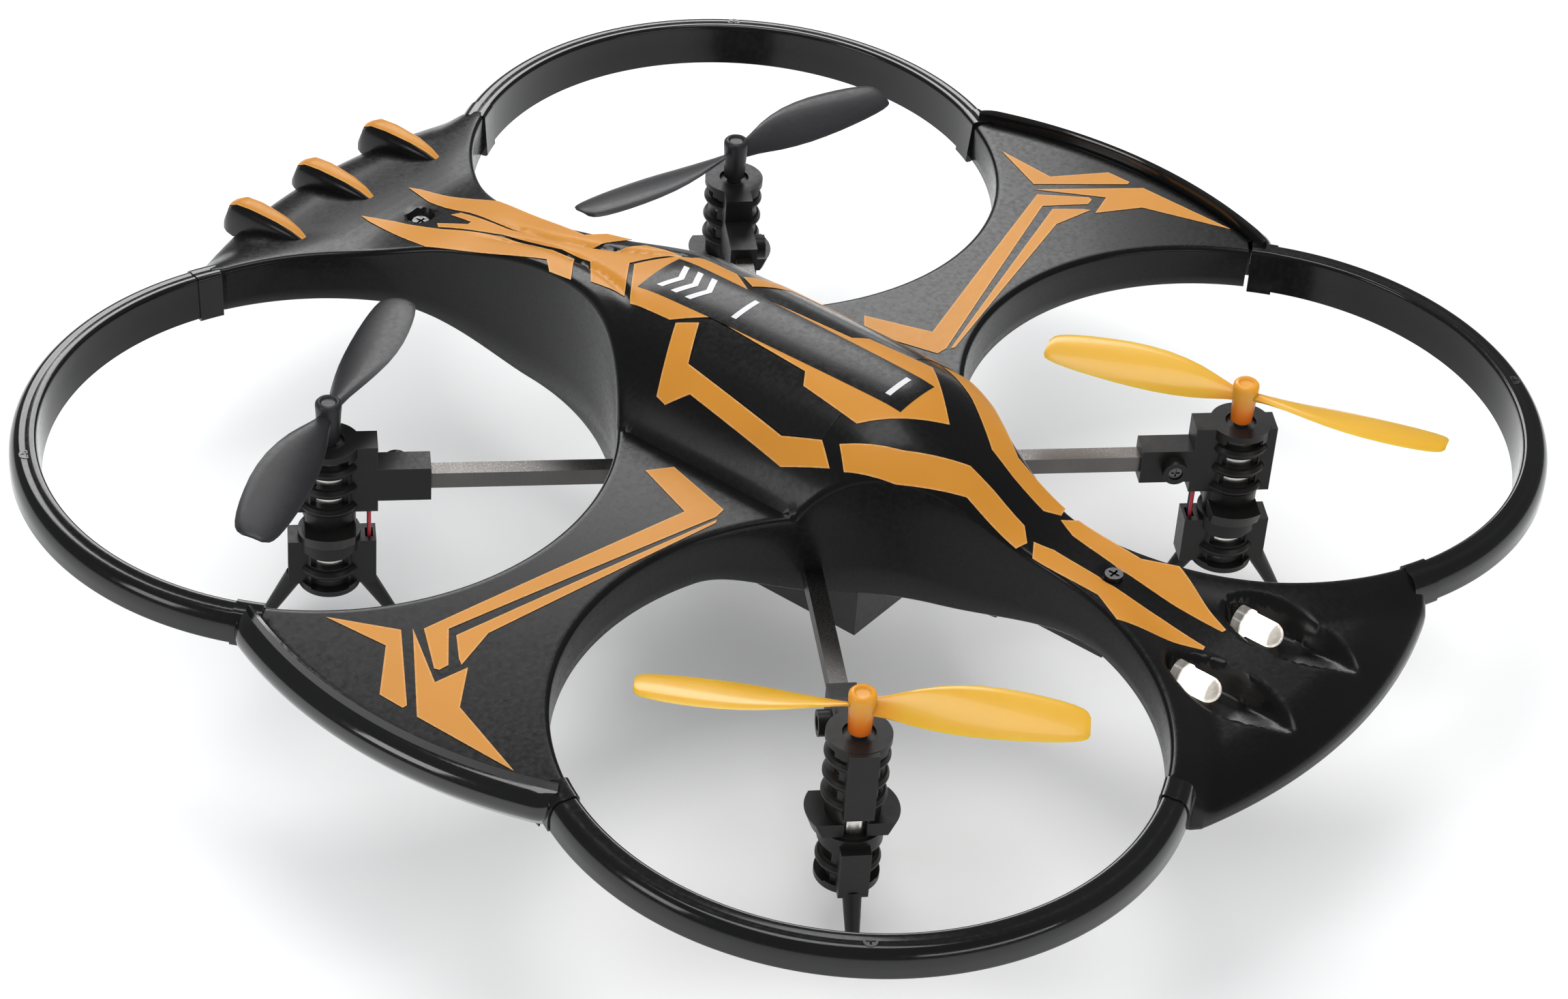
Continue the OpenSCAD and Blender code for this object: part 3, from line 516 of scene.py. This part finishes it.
# ------------------------------------------------------------------ shell
def clip_grid(step, x0, x1, y0, y1, field):
    """Grid over a rectangle kept where field > 0, its edge cells cut along field = 0.

    Returns the xy points, the faces and the boundary loops.
    """
    nx, ny = int(round((x1 - x0) / step)), int(round((y1 - y0) / step))
    xs, ys = x0 + step * np.arange(nx + 1), y0 + step * np.arange(ny + 1)
    values = field(*np.meshgrid(xs, ys, indexing="ij"))
    values = np.where(np.abs(values) < 0.02, 0.02, values)      # avoids sliver cells
    points, node_ids, cut_ids = [], {}, {}

    def node(i, j):
        if (i, j) not in node_ids:
            node_ids[i, j] = len(points)
            points.append((xs[i], ys[j]))
        return node_ids[i, j]

    def sample(x, y):
        return float(field(np.array(x), np.array(y)))

    def cut(i, j, k, l):
        """Point where field is 0 on the grid edge from node i, j to node k, l."""
        key = (min((i, j), (k, l)), max((i, j), (k, l)))
        if key not in cut_ids:
            a, b = values[i, j], values[k, l]
            t = a / (a - b)
            p = np.array([xs[i], ys[j]]) * (1 - t) + np.array([xs[k], ys[l]]) * t
            # settle on the true edge
            for _ in range(3):
                here = sample(p[0], p[1])
                gx = sample(p[0] + 0.01, p[1]) - here
                gy = sample(p[0], p[1] + 0.01) - here
                steep = gx * gx + gy * gy
                if steep < 1e-12:
                    break
                q = p - np.array([gx, gy]) * here * 0.01 / steep
                if np.hypot(*(q - p)) > step * 0.6:
                    break
                p = q
            cut_ids[key] = len(points)
            points.append((p[0], p[1]))
        return cut_ids[key]

    faces, rim = [], {}
    kept = values > 0
    count = kept[:-1, :-1].astype(int) + kept[1:, :-1] + kept[1:, 1:] + kept[:-1, 1:]
    for i, j in zip(*np.nonzero(count)):
        cell = [(i, j), (i + 1, j), (i + 1, j + 1), (i, j + 1)]
        inside = [kept[p] for p in cell]
        if all(inside):
            faces.append(tuple(node(*p) for p in cell))
            continue
        face, exits = [], []
        for n in range(4):
            after = (n + 1) % 4
            if inside[n]:
                face.append(node(*cell[n]))
            if inside[n] != inside[after]:
                if inside[n]:
                    exits.append(len(face))
                face.append(cut(*cell[n], *cell[after]))
        faces.append(tuple(face))
        # the boundary runs from each exit to the next entry
        for n in exits:
            rim[face[n]] = face[(n + 1) % len(face)]
    loops = []
    while rim:
        start = next(iter(rim))
        loop, v = [start], rim.pop(start)
        while v != start and v in rim:
            loop.append(v)
            v = rim.pop(v)
        loops.append(loop)
    return np.array(points), faces, loops


def gradient(field, p, reach=0.05):
    x, y = p[:, 0], p[:, 1]
    gx = field(x + reach, y) - field(x - reach, y)
    gy = field(x, y + reach) - field(x, y - reach)
    n = np.stack([gx, gy], 1)
    return n / np.maximum(np.linalg.norm(n, axis=1, keepdims=True), 1e-9)


def build_shell():
    """Two grid skins a wall apart, joined round every edge by a rounded brim and a wall."""
    band, wall = 2.3, 1.4            # edge strip outside the grid, wall thickness
    edge_r = 1.15                    # round at the top of the wall
    foot_in, foot_up = 0.35, 0.4     # bevels at the bottom of the wall

    points, faces, loops = clip_grid(0.9, -131, 131, -137, 137,
                                     lambda x, y: shell_inside(x, y) - band)
    n_top = len(points)
    z = height(points[:, 0], points[:, 1])
    verts = np.column_stack([points, z + RING_TOP]).tolist()
    verts += np.column_stack([points, z - wall + RING_TOP]).tolist()
    faces += [tuple(n_top + v for v in reversed(f)) for f in faces]

    # brim outwards: (distance from the edge, drop below the surface)
    brim = [(1.75, 0.0)]
    for i in range(6):
        a = math.radians(90 * i / 5)
        brim.append((edge_r - edge_r * math.sin(a), edge_r - edge_r * math.cos(a)))

    for loop in loops:
        size = len(loop)
        xy = points[loop]
        outward = -gradient(shell_inside, xy)
        rows = [loop]

        def add_row(row_xy, row_z):
            rows.append(list(range(len(verts), len(verts) + size)))
            verts.extend(np.column_stack([row_xy, row_z + RING_TOP]).tolist())

        distance = band
        for offset, drop in brim:
            # walk outwards along the gradient so that every row sits at its own distance
            xy = xy + outward * (distance - offset)
            for _ in range(2):
                error = shell_inside(xy[:, 0], xy[:, 1]) - offset
                xy = xy + outward * np.clip(error, -0.4, 0.4)[:, None]
            distance = offset
            top = height(xy[:, 0], xy[:, 1]) - drop
            add_row(xy, top)
        bottom = wall_bottom(xy[:, 0], xy[:, 1])
        for t in (0.25, 0.5, 0.75):
            add_row(xy, top * (1 - t) + (bottom + foot_up) * t)
        add_row(xy, bottom + foot_up)
        add_row(xy - outward * foot_in, bottom)
        add_row(xy - outward * (wall - foot_in), bottom)
        inner = xy - outward * wall
        add_row(inner, bottom + foot_up)
        add_row(inner, height(inner[:, 0], inner[:, 1]) - wall - 0.6)
        rows.append([n_top + v for v in loop])
        for a, b in zip(rows[:-1], rows[1:]):
            for i in range(size):
                j = (i + 1) % size
                faces.append((a[i], a[j], b[j], b[i]))
    return new_object("shell_body", verts, faces, 50)


dress(build_shell(), SHELL, node="upper_shell")


# ------------------------------------------------------------------ guard rings
def joint_angle(joint, signs):
    return math.atan2(signs[1] * joint[1], signs[0] * joint[0])


def ring_profile():
    """Closed (radius, z) section of a guard ring: a hollow channel open below."""
    i, o, h = HOLE_R, RING_R, RING_DEPTH
    profile = [(i - 0.75, -h + 0.3), (i - 0.4, -5.0), (i - 0.08, -1.0)]
    profile += arc_points(i + 0.72, -0.75, 0.8, 180, 90, 5)
    profile += [(i + 1.4, 0.05), (i + 2.0, -0.15), (i + 2.5, -0.2), (o - 2.7, -0.2)]
    # elliptical outer shoulder
    for degrees in range(90, -1, -10):
        a = math.radians(degrees)
        profile.append((o - 2.3 + 2.3 * math.cos(a), -4.1 + 3.9 * math.sin(a)))
    profile.append((o, -5.6))
    profile += arc_points(o - 0.3, -5.9, 0.3, 0, -90, 3)
    profile += [(o - 1.1, -6.2), (o - 1.4, -5.8), (o - 1.4, -4.0), (o - 2.7, -1.9),
                (i + 1.7, -1.8), (i + 1.3, -2.4), (i + 0.7, -h + 0.3),
                (i + 0.35, -h), (i - 0.45, -h)]
    return profile


def build_ring(corner):
    signs = CORNERS[corner]
    cx, cy = signs[0] * MOTOR_X, signs[1] * MOTOR_Y
    side = joint_angle(SIDE_JOINT, signs)
    turn = (joint_angle(NOSE_JOINT, signs) - side + 3 * math.pi) % (2 * math.pi) - math.pi
    start, end = (side, side + turn) if turn > 0 else (side + turn, side)
    profile = ring_profile()
    ring = sweep_arc("guard_ring_" + corner, cx, cy, start, end, profile, 110)
    dress(ring, RING, node="ring_guard_" + corner)
    # short sleeves, a little fatter than the ring, over its two joints with the shell
    mid_r, mid_z = (HOLE_R + RING_R) / 2, -3.6
    fat = [(mid_r + (r - mid_r) * 1.11, mid_z + (z - mid_z) * 1.08) for r, z in profile]
    outer, inner = 0.042, 0.05       # reach beyond and along the ring, radians
    spans = ((start - outer, start + inner), (end - inner, end + outer))
    for n, (low, high) in enumerate(spans):
        sleeve = sweep_arc(f"ring_sleeve_{corner}_{n + 1}", cx, cy, low, high, fat, 6)
        dress(sleeve, RING)


for corner in CORNERS:
    build_ring(corner)


# ------------------------------------------------------------------ side bumpers
BUMPER_R = SIDE_R + 0.15
# closed (radius, z) section
BUMPER_PROFILE = [
    (BUMPER_R, -7.6), (BUMPER_R, 1.2), (94.9, 1.75), (95.6, 1.95),
    *arc_points(95.6, -3.2, 3.75, 82, -48, 14),
    (97.2, -7.2), (96.9, -6.6), (97.6, -4.2), (97.3, -1.6), (96.2, -0.2), (95.7, -0.4),
    (95.6, -7.6),
]


def bumper_taper(t, r, z):
    """Thin the section over the last twentieth at each end."""
    near_end = (1 - min(1.0, min(t, 1 - t) / 0.05)) ** 2
    return (BUMPER_R + (r - BUMPER_R) * (1.0 - 0.28 * near_end),
            -2.6 + (z + 2.6) * (1.0 - 0.12 * near_end))


for side, sign, middle in (("left", 1, 0.0), ("right", -1, math.pi)):
    half = math.radians(23.4)
    bumper = sweep_arc("bumper_" + side + "_tube", sign * SIDE_X, 0, middle - half,
                       middle + half, BUMPER_PROFILE, 64, taper=bumper_taper)
    dress(bumper, BUMPER, node="bumper_" + side)


# ------------------------------------------------------------------ propellers
# blade stations: radius, chord, shift along the chord, pitch in degrees, thickness
BLADE = [
    (1.6, 3.0, 0, 30, 2.0), (3.2, 3.6, 0, 29, 1.9), (5.0, 4.7, 0.1, 27, 1.7),
    (7.5, 6.4, 0.25, 25, 1.5), (10.5, 8.2, 0.45, 23, 1.35), (14, 9.8, 0.6, 20.5, 1.2),
    (18, 11.1, 0.7, 18, 1.1), (22, 11.7, 0.7, 16, 1.0), (26, 11.8, 0.6, 14.5, 0.95),
    (30, 11.4, 0.4, 13, 0.9), (33.5, 10.8, 0.2, 12, 0.85), (36.5, 10.0, 0.0, 11.2, 0.8),
    (39, 9.0, -0.2, 10.6, 0.7), (40.6, 7.9, -0.35, 10.2, 0.6), (41.5, 6.6, -0.5, 10, 0.5),
    (41.95, 4.6, -0.6, 10, 0.34),
]
BLADE_Z = 2.6
SECTION_STEPS = 10          # steps over each face of the blade section
BORE_R, HUB_BOTTOM, BORE_TOP = 0.52, -3.5, 2.5
HUB_SEGMENTS = 40
HUB_CENTRE_Z = 5.5          # middle of the dished cap
# hub section from the bore round to the cap: (radius, z)
HUB = [(BORE_R, HUB_BOTTOM), (1.9, HUB_BOTTOM), (2.2, -3.25), (2.3, -1.6), (2.55, 3.2),
       (2.68, 4.9), (2.62, 5.5), (2.3, 5.9), (1.8, 6.0), (1.5, 5.75), (1.35, 5.55)]
# corner: (rest angle in degrees, hand of the twist)
PROPELLERS = {"fl": (-72, 1), "fr": (-55.5, -1), "rl": (-12, -1), "rr": (22, 1)}


def blade_section(chord, shift, thick):
    """Closed cambered section: (x along the chord, z)."""
    section = []
    for i in range(2 * SECTION_STEPS):
        if i < SECTION_STEPS:
            u, side = i / SECTION_STEPS, 1
        else:
            u, side = 1 - (i - SECTION_STEPS) / SECTION_STEPS, -1
        half = thick / 2 * math.sqrt(max(0.0, 4 * u * (1 - u))) * (0.72 + 0.28 * (1 - u)) + 0.09
        camber = 0.055 * chord * 4 * u * (1 - u)
        section.append(((u - 0.5) * chord + shift, camber + side * half))
    return section


def circle(r, z):
    angles = [2 * math.pi * i / HUB_SEGMENTS for i in range(HUB_SEGMENTS)]
    return [(r * math.cos(a), r * math.sin(a), z) for a in angles]


def build_propeller(corner, rest_angle, hand):
    """Two twisted, cambered blades lofted from a round hub."""
    verts, faces = [], []
    size, rows = 2 * SECTION_STEPS, len(BLADE)
    for sign in (1, -1):
        base = len(verts)
        for r, chord, shift, pitch, thick in BLADE:
            b = math.radians(pitch) * hand
            rise = 0.006 * (r - 10) * (r > 10)
            for along, up in blade_section(chord, shift, thick):
                y = (along * math.cos(b) - up * math.sin(b)) * -hand
                z = along * math.sin(b) * hand + up * math.cos(b)
                verts.append((sign * r, sign * y, BLADE_Z + z + rise))
        faces += loft_faces(base, rows, size)
        faces += [cap_face(base, size), cap_face(base + (rows - 1) * size, size, flip=True)]

    seg = HUB_SEGMENTS
    base = len(verts)
    for r, z in HUB:
        verts += circle(r, z)
    verts.append((0, 0, HUB_CENTRE_Z))
    faces += loft_faces(base, len(HUB), seg)
    top = base + (len(HUB) - 1) * seg
    for j in range(seg):
        faces.append((top + j, top + (j + 1) % seg, len(verts) - 1))

    # short bore under the hub, closed at its top
    base = len(verts)
    verts += circle(BORE_R, HUB_BOTTOM) + circle(BORE_R, BORE_TOP) + [(0, 0, BORE_TOP)]
    top = base + seg
    for j in range(seg):
        k = (j + 1) % seg
        faces.append((base + k, base + j, top + j, top + k))
        faces.append((top + k, top + j, len(verts) - 1))

    cx, cy = CORNERS[corner][0] * MOTOR_X, CORNERS[corner][1] * MOTOR_Y
    a = math.radians(rest_angle)
    ca, sa = math.cos(a), math.sin(a)
    verts = [(cx + x * ca - y * sa, cy + x * sa + y * ca, RING_TOP + z) for x, y, z in verts]
    return new_object("rotor_blades_" + corner, verts, faces, 42)


for corner, (rest_angle, hand) in PROPELLERS.items():
    front = corner[0] == "f"
    dress(build_propeller(corner, rest_angle, hand), YELLOW_PROP if front else BLACK_PROP,
          mover="rotor_" + corner, node="propeller_" + corner)

# ------------------------------------------------------------------ trim films
FILM_THICK, FILM_GRID = 0.12, 0.9

# outlines in (x, y); those that are mirrored are drawn for the +X half
SIDE_TRIM = [
    [(35.8, 9), (31.2, 5.5), (35.3, -10.2), (38, -10.5), (96.9, 6.3), (104.6, -0.4), (106.7, 0),
     (107, 1), (99.9, 9.8), (40.8, -4.9)],
    [(97.4, 4.0), (40, -10.8), (38.6, -11.2), (39.6, -11.6), (93, -0.1), (103, -2.2),
     (102, -0.7)],
    [(109.2, 25.8), (102.9, 12.8), (117.8, -2.0), (118.8, -1.8), (118.8, 3.8), (108, 12)],
    [(101.2, 11.4), (109.8, -1.7), (102.8, -3.6), (112, -9.7), (118.5, -28.3), (118.9, -5.4)],
]
NOSE_TRIM = [
    [(17.2, -23.6), (20.5, -27.4), (16.5, -37), (8.6, -48.4), (8.4, -60.6), (5.8, -61.4),
     (3.2, -58.8), (3.1, -51), (3.6, -45.3), (11.5, -34.5)],
    [(4.6, -62.1), (7.9, -64.2), (7.4, -79.3), (10.8, -86), (4.0, -101.6), (3.0, -101.4),
     (2.5, -91), (2.5, -77), (3.1, -66)],
]
NECK_TRIM = [
    [(9.8, 50.4), (2.6, 55.5), (1.7, 62), (1.8, 75), (2.8, 82), (4.3, 89.6), (4.6, 96),
     (5.2, 102), (7.4, 109.6), (8.2, 107), (9.2, 100), (11.6, 88), (10, 80), (8.8, 74),
     (6, 60), (9.3, 56.5)],
]
NECK_MIDDLE = [
    (-9.4, 36.8), (0, 43.2), (9.4, 36.8), (8.8, 46), (7.9, 46.8), (2.7, 51.2), (2.2, 54.6),
    (1.2, 60), (1.2, 76), (2.2, 82.4), (3.6, 91.5), (2.2, 93), (0.6, 86),
    (-0.6, 86), (-2.2, 93), (-3.6, 91.5), (-2.2, 82.4), (-1.2, 76), (-1.2, 60), (-2.2, 54.6),
    (-2.7, 51.2), (-7.9, 46.8), (-8.8, 46),
]
LABEL_FRAME = [
    (-9.3, 35.4), (-11, 34), (-10.8, 24), (-6, 17.2), (-7.6, -7.5), (-10.7, -9.5), (-12.5, -24),
    (0, -37.3), (12.5, -24), (10.7, -9.5), (7.6, -7.5), (6, 17.2), (10.8, 24), (11, 34),
    (9.3, 35.4), (0, 42.0),
]
WINDOW_SURROUND = [
    [(23.5, 16.6), (10.9, 22.4), (8.6, 18.3), (16.9, 14.2), (20.4, -12), (18, -20),
     (21.2, -24.5), (24.2, -15), (21.1, 10.2), (24, 14)],
]
WINDOW_PANE = [
    [(16.7, 14.2), (6.4, 17.0), (8.0, -7.2), (10.9, -9.3), (12.2, -20), (17.8, -20.0),
     (20.0, -12)],
]
LABEL_PLATE = [(-6.7, 35.6), (6.7, 35.6), (5.6, -29.3), (-5.6, -29.3)]
# three chevrons and two plain bars on the label
LABEL_BARS = [
    [(-4.4, y), (0, y - 2), (4.4, y), (4.4, y - 1.4), (0, y - 3.4), (-4.4, y - 1.4)]
    for y in (32.6, 29.0, 25.4)
] + [
    [(-3.9, 14.0), (3.9, 14.0), (3.85, 12.8), (-3.85, 12.8)],
    [(-3.5, -24.0), (3.5, -24.0), (3.45, -25.2), (-3.45, -25.2)],
]


def mirrored(outlines):
    return [[(-x, y) for x, y in reversed(outline)] for outline in outlines]


def surface_film(name, outlines, lift):
    """Lay flat outlines over the shell surface as thin films; sharp corners are kept."""
    bm = bmesh.new()
    for outline in outlines:
        bm.faces.new([bm.verts.new((x, y, 0)) for x, y in outline])
    # slice along a grid so that the film can follow the surface
    for axis in (0, 1):
        places = [p[axis] for outline in outlines for p in outline]
        k = math.ceil(min(places) / FILM_GRID)
        while k * FILM_GRID < max(places):
            point, normal = [0, 0, 0], [0, 0, 0]
            point[axis], normal[axis] = k * FILM_GRID + 0.013, 1
            bmesh.ops.bisect_plane(bm, geom=bm.verts[:] + bm.edges[:] + bm.faces[:],
                                   plane_co=point, plane_no=normal, dist=1e-5)
            k += 1
    bmesh.ops.triangulate(bm, faces=[f for f in bm.faces if len(f.verts) > 4])
    flat = np.array([v.co for v in bm.verts])
    for v, z in zip(bm.verts, height(flat[:, 0], flat[:, 1]) + lift):
        v.co.z = RING_TOP + z
    top = bm.faces[:]
    bmesh.ops.recalc_face_normals(bm, faces=top)
    if sum(f.normal.z for f in top) < 0:
        bmesh.ops.reverse_faces(bm, faces=top)
    extruded = bmesh.ops.extrude_face_region(bm, geom=top)
    for v in extruded["geom"]:
        if isinstance(v, bmesh.types.BMVert):
            v.co.z -= FILM_THICK
    bmesh.ops.recalc_face_normals(bm, faces=bm.faces)
    for v in bm.verts:
        v.co *= MM
    mesh = bpy.data.meshes.new(name)
    bm.to_mesh(mesh)
    bm.free()
    ob = link_object(name, mesh)
    smooth_by_angle(ob, 40)
    return ob


# name, outlines, lift over the shell, material, node it replaces, slot
FILMS = [
    ("trim_left", SIDE_TRIM, 0.14, ORANGE, "sticker_left", "trim_orange"),
    ("trim_right", mirrored(SIDE_TRIM), 0.14, ORANGE, "sticker_right", "trim_orange"),
    ("trim_nose", NOSE_TRIM + mirrored(NOSE_TRIM), 0.14, ORANGE, "sticker_nose", "trim_orange"),
    ("trim_tail", NECK_TRIM + mirrored(NECK_TRIM), 0.2, ORANGE, "sticker_tail", "trim_orange"),
    ("trim_canopy", [LABEL_FRAME, NECK_MIDDLE] + WINDOW_SURROUND + mirrored(WINDOW_SURROUND),
     0.2, ORANGE, "sticker_canopy", "trim_orange"),
    ("window_panels", WINDOW_PANE + mirrored(WINDOW_PANE), 0.12, WINDOW, None, None),
    ("label_plate", [LABEL_PLATE], 0.26, LABEL, "canopy_label", "label_dark"),
    ("label_bars", LABEL_BARS, 0.36, MARK, None, None),
]
for name, outlines, lift, material, node, slot in FILMS:
    dress(surface_film(name, outlines, lift), material, node=node)

# ------------------------------------------------------------------ tail gills
GILL_X = (-21.0, 0.0, 21.0)
# (y, z of the crest, half width)
GILL_SHAPE = np.array([
    (110.8, -0.9, 0.3), (112.5, 0.4, 0.9), (116, 1.8, 1.9), (120, 2.6, 2.7),
    (127, 3.0, 3.3), (131, 2.7, 3.3), (133.2, 1.4, 2.9), (134.6, -1.8, 2.2),
]).T
GILL_ROWS = [110.8, 111.6, 112.5, 114, 116, 118, 120, 122.5, 125, 127, 129, 131, 132.2, 133.2,
             134.0, 134.6]
GILL_STEPS = 22             # steps over the arch of a ridge
FILM_START, FILM_END = 112.5, 134.0
FILM_POINTS = 11            # points across the film on a crest


def gill_section(cx, y, shares, offset=0.0):
    """Points at the given shares of the arch, from its +X foot; offset lifts them off it."""
    stations, crests, half_widths = GILL_SHAPE
    crest = float(np.interp(y, stations, crests))
    half = float(np.interp(y, stations, half_widths))
    foot = float(height(np.array(cx), np.array(min(y, NOSE_END - 1.3)))) - 1.6
    points = []
    for share in shares:
        c, s = math.cos(math.pi * share), math.sin(math.pi * share)
        x = cx + (half + offset) * math.copysign(abs(c) ** 0.75, c)
        z = foot + (crest + offset - foot) * abs(s) ** 0.55
        points.append((x, y + offset * 0.2, RING_TOP + z))
    return points


def build_gills():
    """Three ridges along the tail edge, each with an orange film over its crest."""
    verts, faces, film_verts, film_faces = [], [], [], []
    arch = [i / GILL_STEPS for i in range(GILL_STEPS + 1)]
    film_rows = [y for y in GILL_ROWS if FILM_START <= y <= FILM_END]
    for cx in GILL_X:
        base, size = len(verts), len(arch)
        for y in GILL_ROWS:
            verts += gill_section(cx, y, arch)
        last = base + (len(GILL_ROWS) - 1) * size
        faces += loft_faces(base, len(GILL_ROWS), size)
        faces += [cap_face(base, size), cap_face(last, size, flip=True)]

        base, size = len(film_verts), 2 * FILM_POINTS
        for y in film_rows:
            t = (y - FILM_START) / (FILM_END - FILM_START)
            low, high = 0.33 - 0.06 * t, 0.60 + 0.06 * t
            shares = [low + (high - low) * i / (FILM_POINTS - 1) for i in range(FILM_POINTS)]
            film_verts += gill_section(cx, y, shares, 0.14)
            film_verts += gill_section(cx, y, shares[::-1], 0.02)
        last = base + (len(film_rows) - 1) * size
        film_faces += loft_faces(base, len(film_rows), size)
        film_faces += [cap_face(base, size, flip=True), cap_face(last, size)]
    dress(new_object("tail_gills", verts, faces, 50), SHELL)
    dress(new_object("trim_gills", film_verts, film_faces, 40), ORANGE)


build_gills()

# ------------------------------------------------------------------ pieces kept from the CAD
LOOKS = {
    "lower_shell": CHASSIS, "arm_hub": CHASSIS, "battery_door": CHASSIS,
    "circuit_board": BOARD, "board_chips": CHIP, "antenna_wire": BLACK_WIRE,
    "battery": BATTERY, "switch_body": PLATED, "switch_slider": SWITCH,
    "headlight_leds": LAMP, "shell_screws": SCREW, "ring_screws": SCREW, "clamp_screws": SCREW,
}
CORNER_LOOKS = {
    "arm_tube_": ARM_METAL, "motor_holder_": POD, "foot_housing_": POD, "motor_can_": CAN,
    "motor_cap_": CAP_AND_PAINTED_SHADE, "motor_shaft_": SHAFT,
}
MOULDINGS = ("motor_holder", "foot_housing", "lower_shell", "arm_hub", "battery_door")

for corner in CORNERS:
    for prefix, material in CORNER_LOOKS.items():
        LOOKS[prefix + corner] = material
for name, material in LOOKS.items():
    set_material(nodes[name], material)
    bevel = nodes[name].modifiers.new("edges", "BEVEL")
    bevel.width = 0.00018 if name.startswith(MOULDINGS) else 0.00008
    bevel.segments = 2
    bevel.limit_method = "ANGLE"
    bevel.angle_limit = math.radians(32)
    bevel.harden_normals = False

# painted shade: the end face of each can sits in shadow under the holder's roof, so it gets the
# dark cap material
for corner in CORNERS:
    mesh = nodes["motor_can_" + corner].data
    mesh.materials.append(CAP_AND_PAINTED_SHADE)
    for p in mesh.polygons:
        if p.center.z > (RING_TOP - 5.0) * MM:
            p.material_index = 1

# motor leads come in pairs: seen from above and looking outwards along the arm, the left
# one is dark blue and the right one red, except at the rear right, where they swap
for corner, (sign_x, sign_y) in CORNERS.items():
    ob = nodes["motor_wires_" + corner]
    set_material(ob, RED_WIRE, BLUE_WIRE)
    arm = math.atan2(sign_y * MOTOR_Y, sign_x * MOTOR_X)
    for p in ob.data.polygons:
        x, y = p.center.x - sign_x * MOTOR_X * MM, p.center.y - sign_y * MOTOR_Y * MM
        on_left = -x * math.sin(arm) + y * math.cos(arm) > 0
        p.material_index = 1 if on_left != (corner == "rr") else 0

battery_lead = nodes["battery_lead"]
set_material(battery_lead, RED_WIRE, BLACK_WIRE)
for p in battery_lead.data.polygons:
    p.material_index = 1 if p.center.x > 0 else 0


# ------------------------------------------------------------------ studio, in metres
def build_floor():
    material, tree, bsdf, coord = new_material("floor_pale")
    mottle = add_noise(tree, coord, scale=6.0, detail=4.0, rough=0.5)
    feed(tree, bsdf.inputs["Base Color"],
         mix_colour(tree, mottle, (0.86, 0.86, 0.855), (0.88, 0.88, 0.875)))
    bsdf.inputs["Roughness"].default_value = 0.6
    mesh = bpy.data.meshes.new("floor")
    mesh.from_pydata([(-6, -6, 0), (6, -6, 0), (6, 6, 0), (-6, 6, 0)], [], [(0, 1, 2, 3)])
    floor = link_object("floor", mesh)
    set_material(floor, material)


def build_world():
    """Pale sky; reflections see it dimmed, so that black mouldings stay black."""
    world = bpy.data.worlds.new("studio")
    bpy.context.scene.world = world
    world.use_nodes = True
    tree = world.node_tree
    background = tree.nodes["Background"]
    background.inputs[0].default_value = (0.97, 0.98, 1.0, 1)
    path = tree.nodes.new("ShaderNodeLightPath")
    dim = map_range(tree, path.outputs["Is Glossy Ray"], span=(0.0, 1.0), to=(1.0, 0.16))
    tree.links.new(dim, background.inputs[1])


def area_light(name, place, aim, size, power, size_y=None):
    light = bpy.data.lights.new(name, "AREA")
    light.energy = power
    light.size = size
    if size_y:
        light.shape = "RECTANGLE"
        light.size_y = size_y
    ob = bpy.data.objects.new(name, light)
    ob.location = place
    ob.rotation_euler = (Vector(aim) - Vector(place)).to_track_quat("-Z", "Y").to_euler()
    bpy.context.scene.collection.objects.link(ob)


def build_camera():
    """Camera ahead of the nose on the -X side, looking down at the craft."""
    azimuth, elevation, roll = (math.radians(a) for a in (-54.99615, 37.47372, 4.47991))
    distance = 0.8155
    target = Vector((-0.0229997, -0.0156328, RING_TOP * MM))
    back = Vector((math.sin(azimuth) * math.cos(elevation),
                   -math.cos(azimuth) * math.cos(elevation), math.sin(elevation)))
    forward = -back
    level = forward.cross(Vector((0, 0, 1))).normalized()
    upright = level.cross(forward)
    right = level * math.cos(roll) + upright * math.sin(roll)
    up = -level * math.sin(roll) + upright * math.cos(roll)
    place = target + back * distance
    camera = bpy.data.cameras.new("camera")
    camera.lens = 95.8189461
    camera.sensor_width = 36
    camera.clip_start = 0.01
    ob = bpy.data.objects.new("camera", camera)
    ob.matrix_world = Matrix((*zip(right, up, back, place), (0, 0, 0, 1)))
    bpy.context.scene.collection.objects.link(ob)
    bpy.context.scene.camera = ob


build_floor()
build_world()
area_light("key_back", place=(0.62, 0.66, 0.62), aim=(0, 0, 0.05), size=0.7, power=4.5,
           size_y=0.35)
area_light("fill_left", place=(-0.95, 0.35, 0.5), aim=(0, 0, 0.04), size=0.35, power=1.6)
area_light("top", place=(0.05, 0.1, 1.1), aim=(0, 0, 0.05), size=0.5, power=3.0)
area_light("front_strip", place=(-0.25, -0.95, 0.3), aim=(0, 0, 0.04), size=0.7, power=1.0,
           size_y=0.12)
build_camera()
bpy.context.scene.view_settings.view_transform = "Standard"
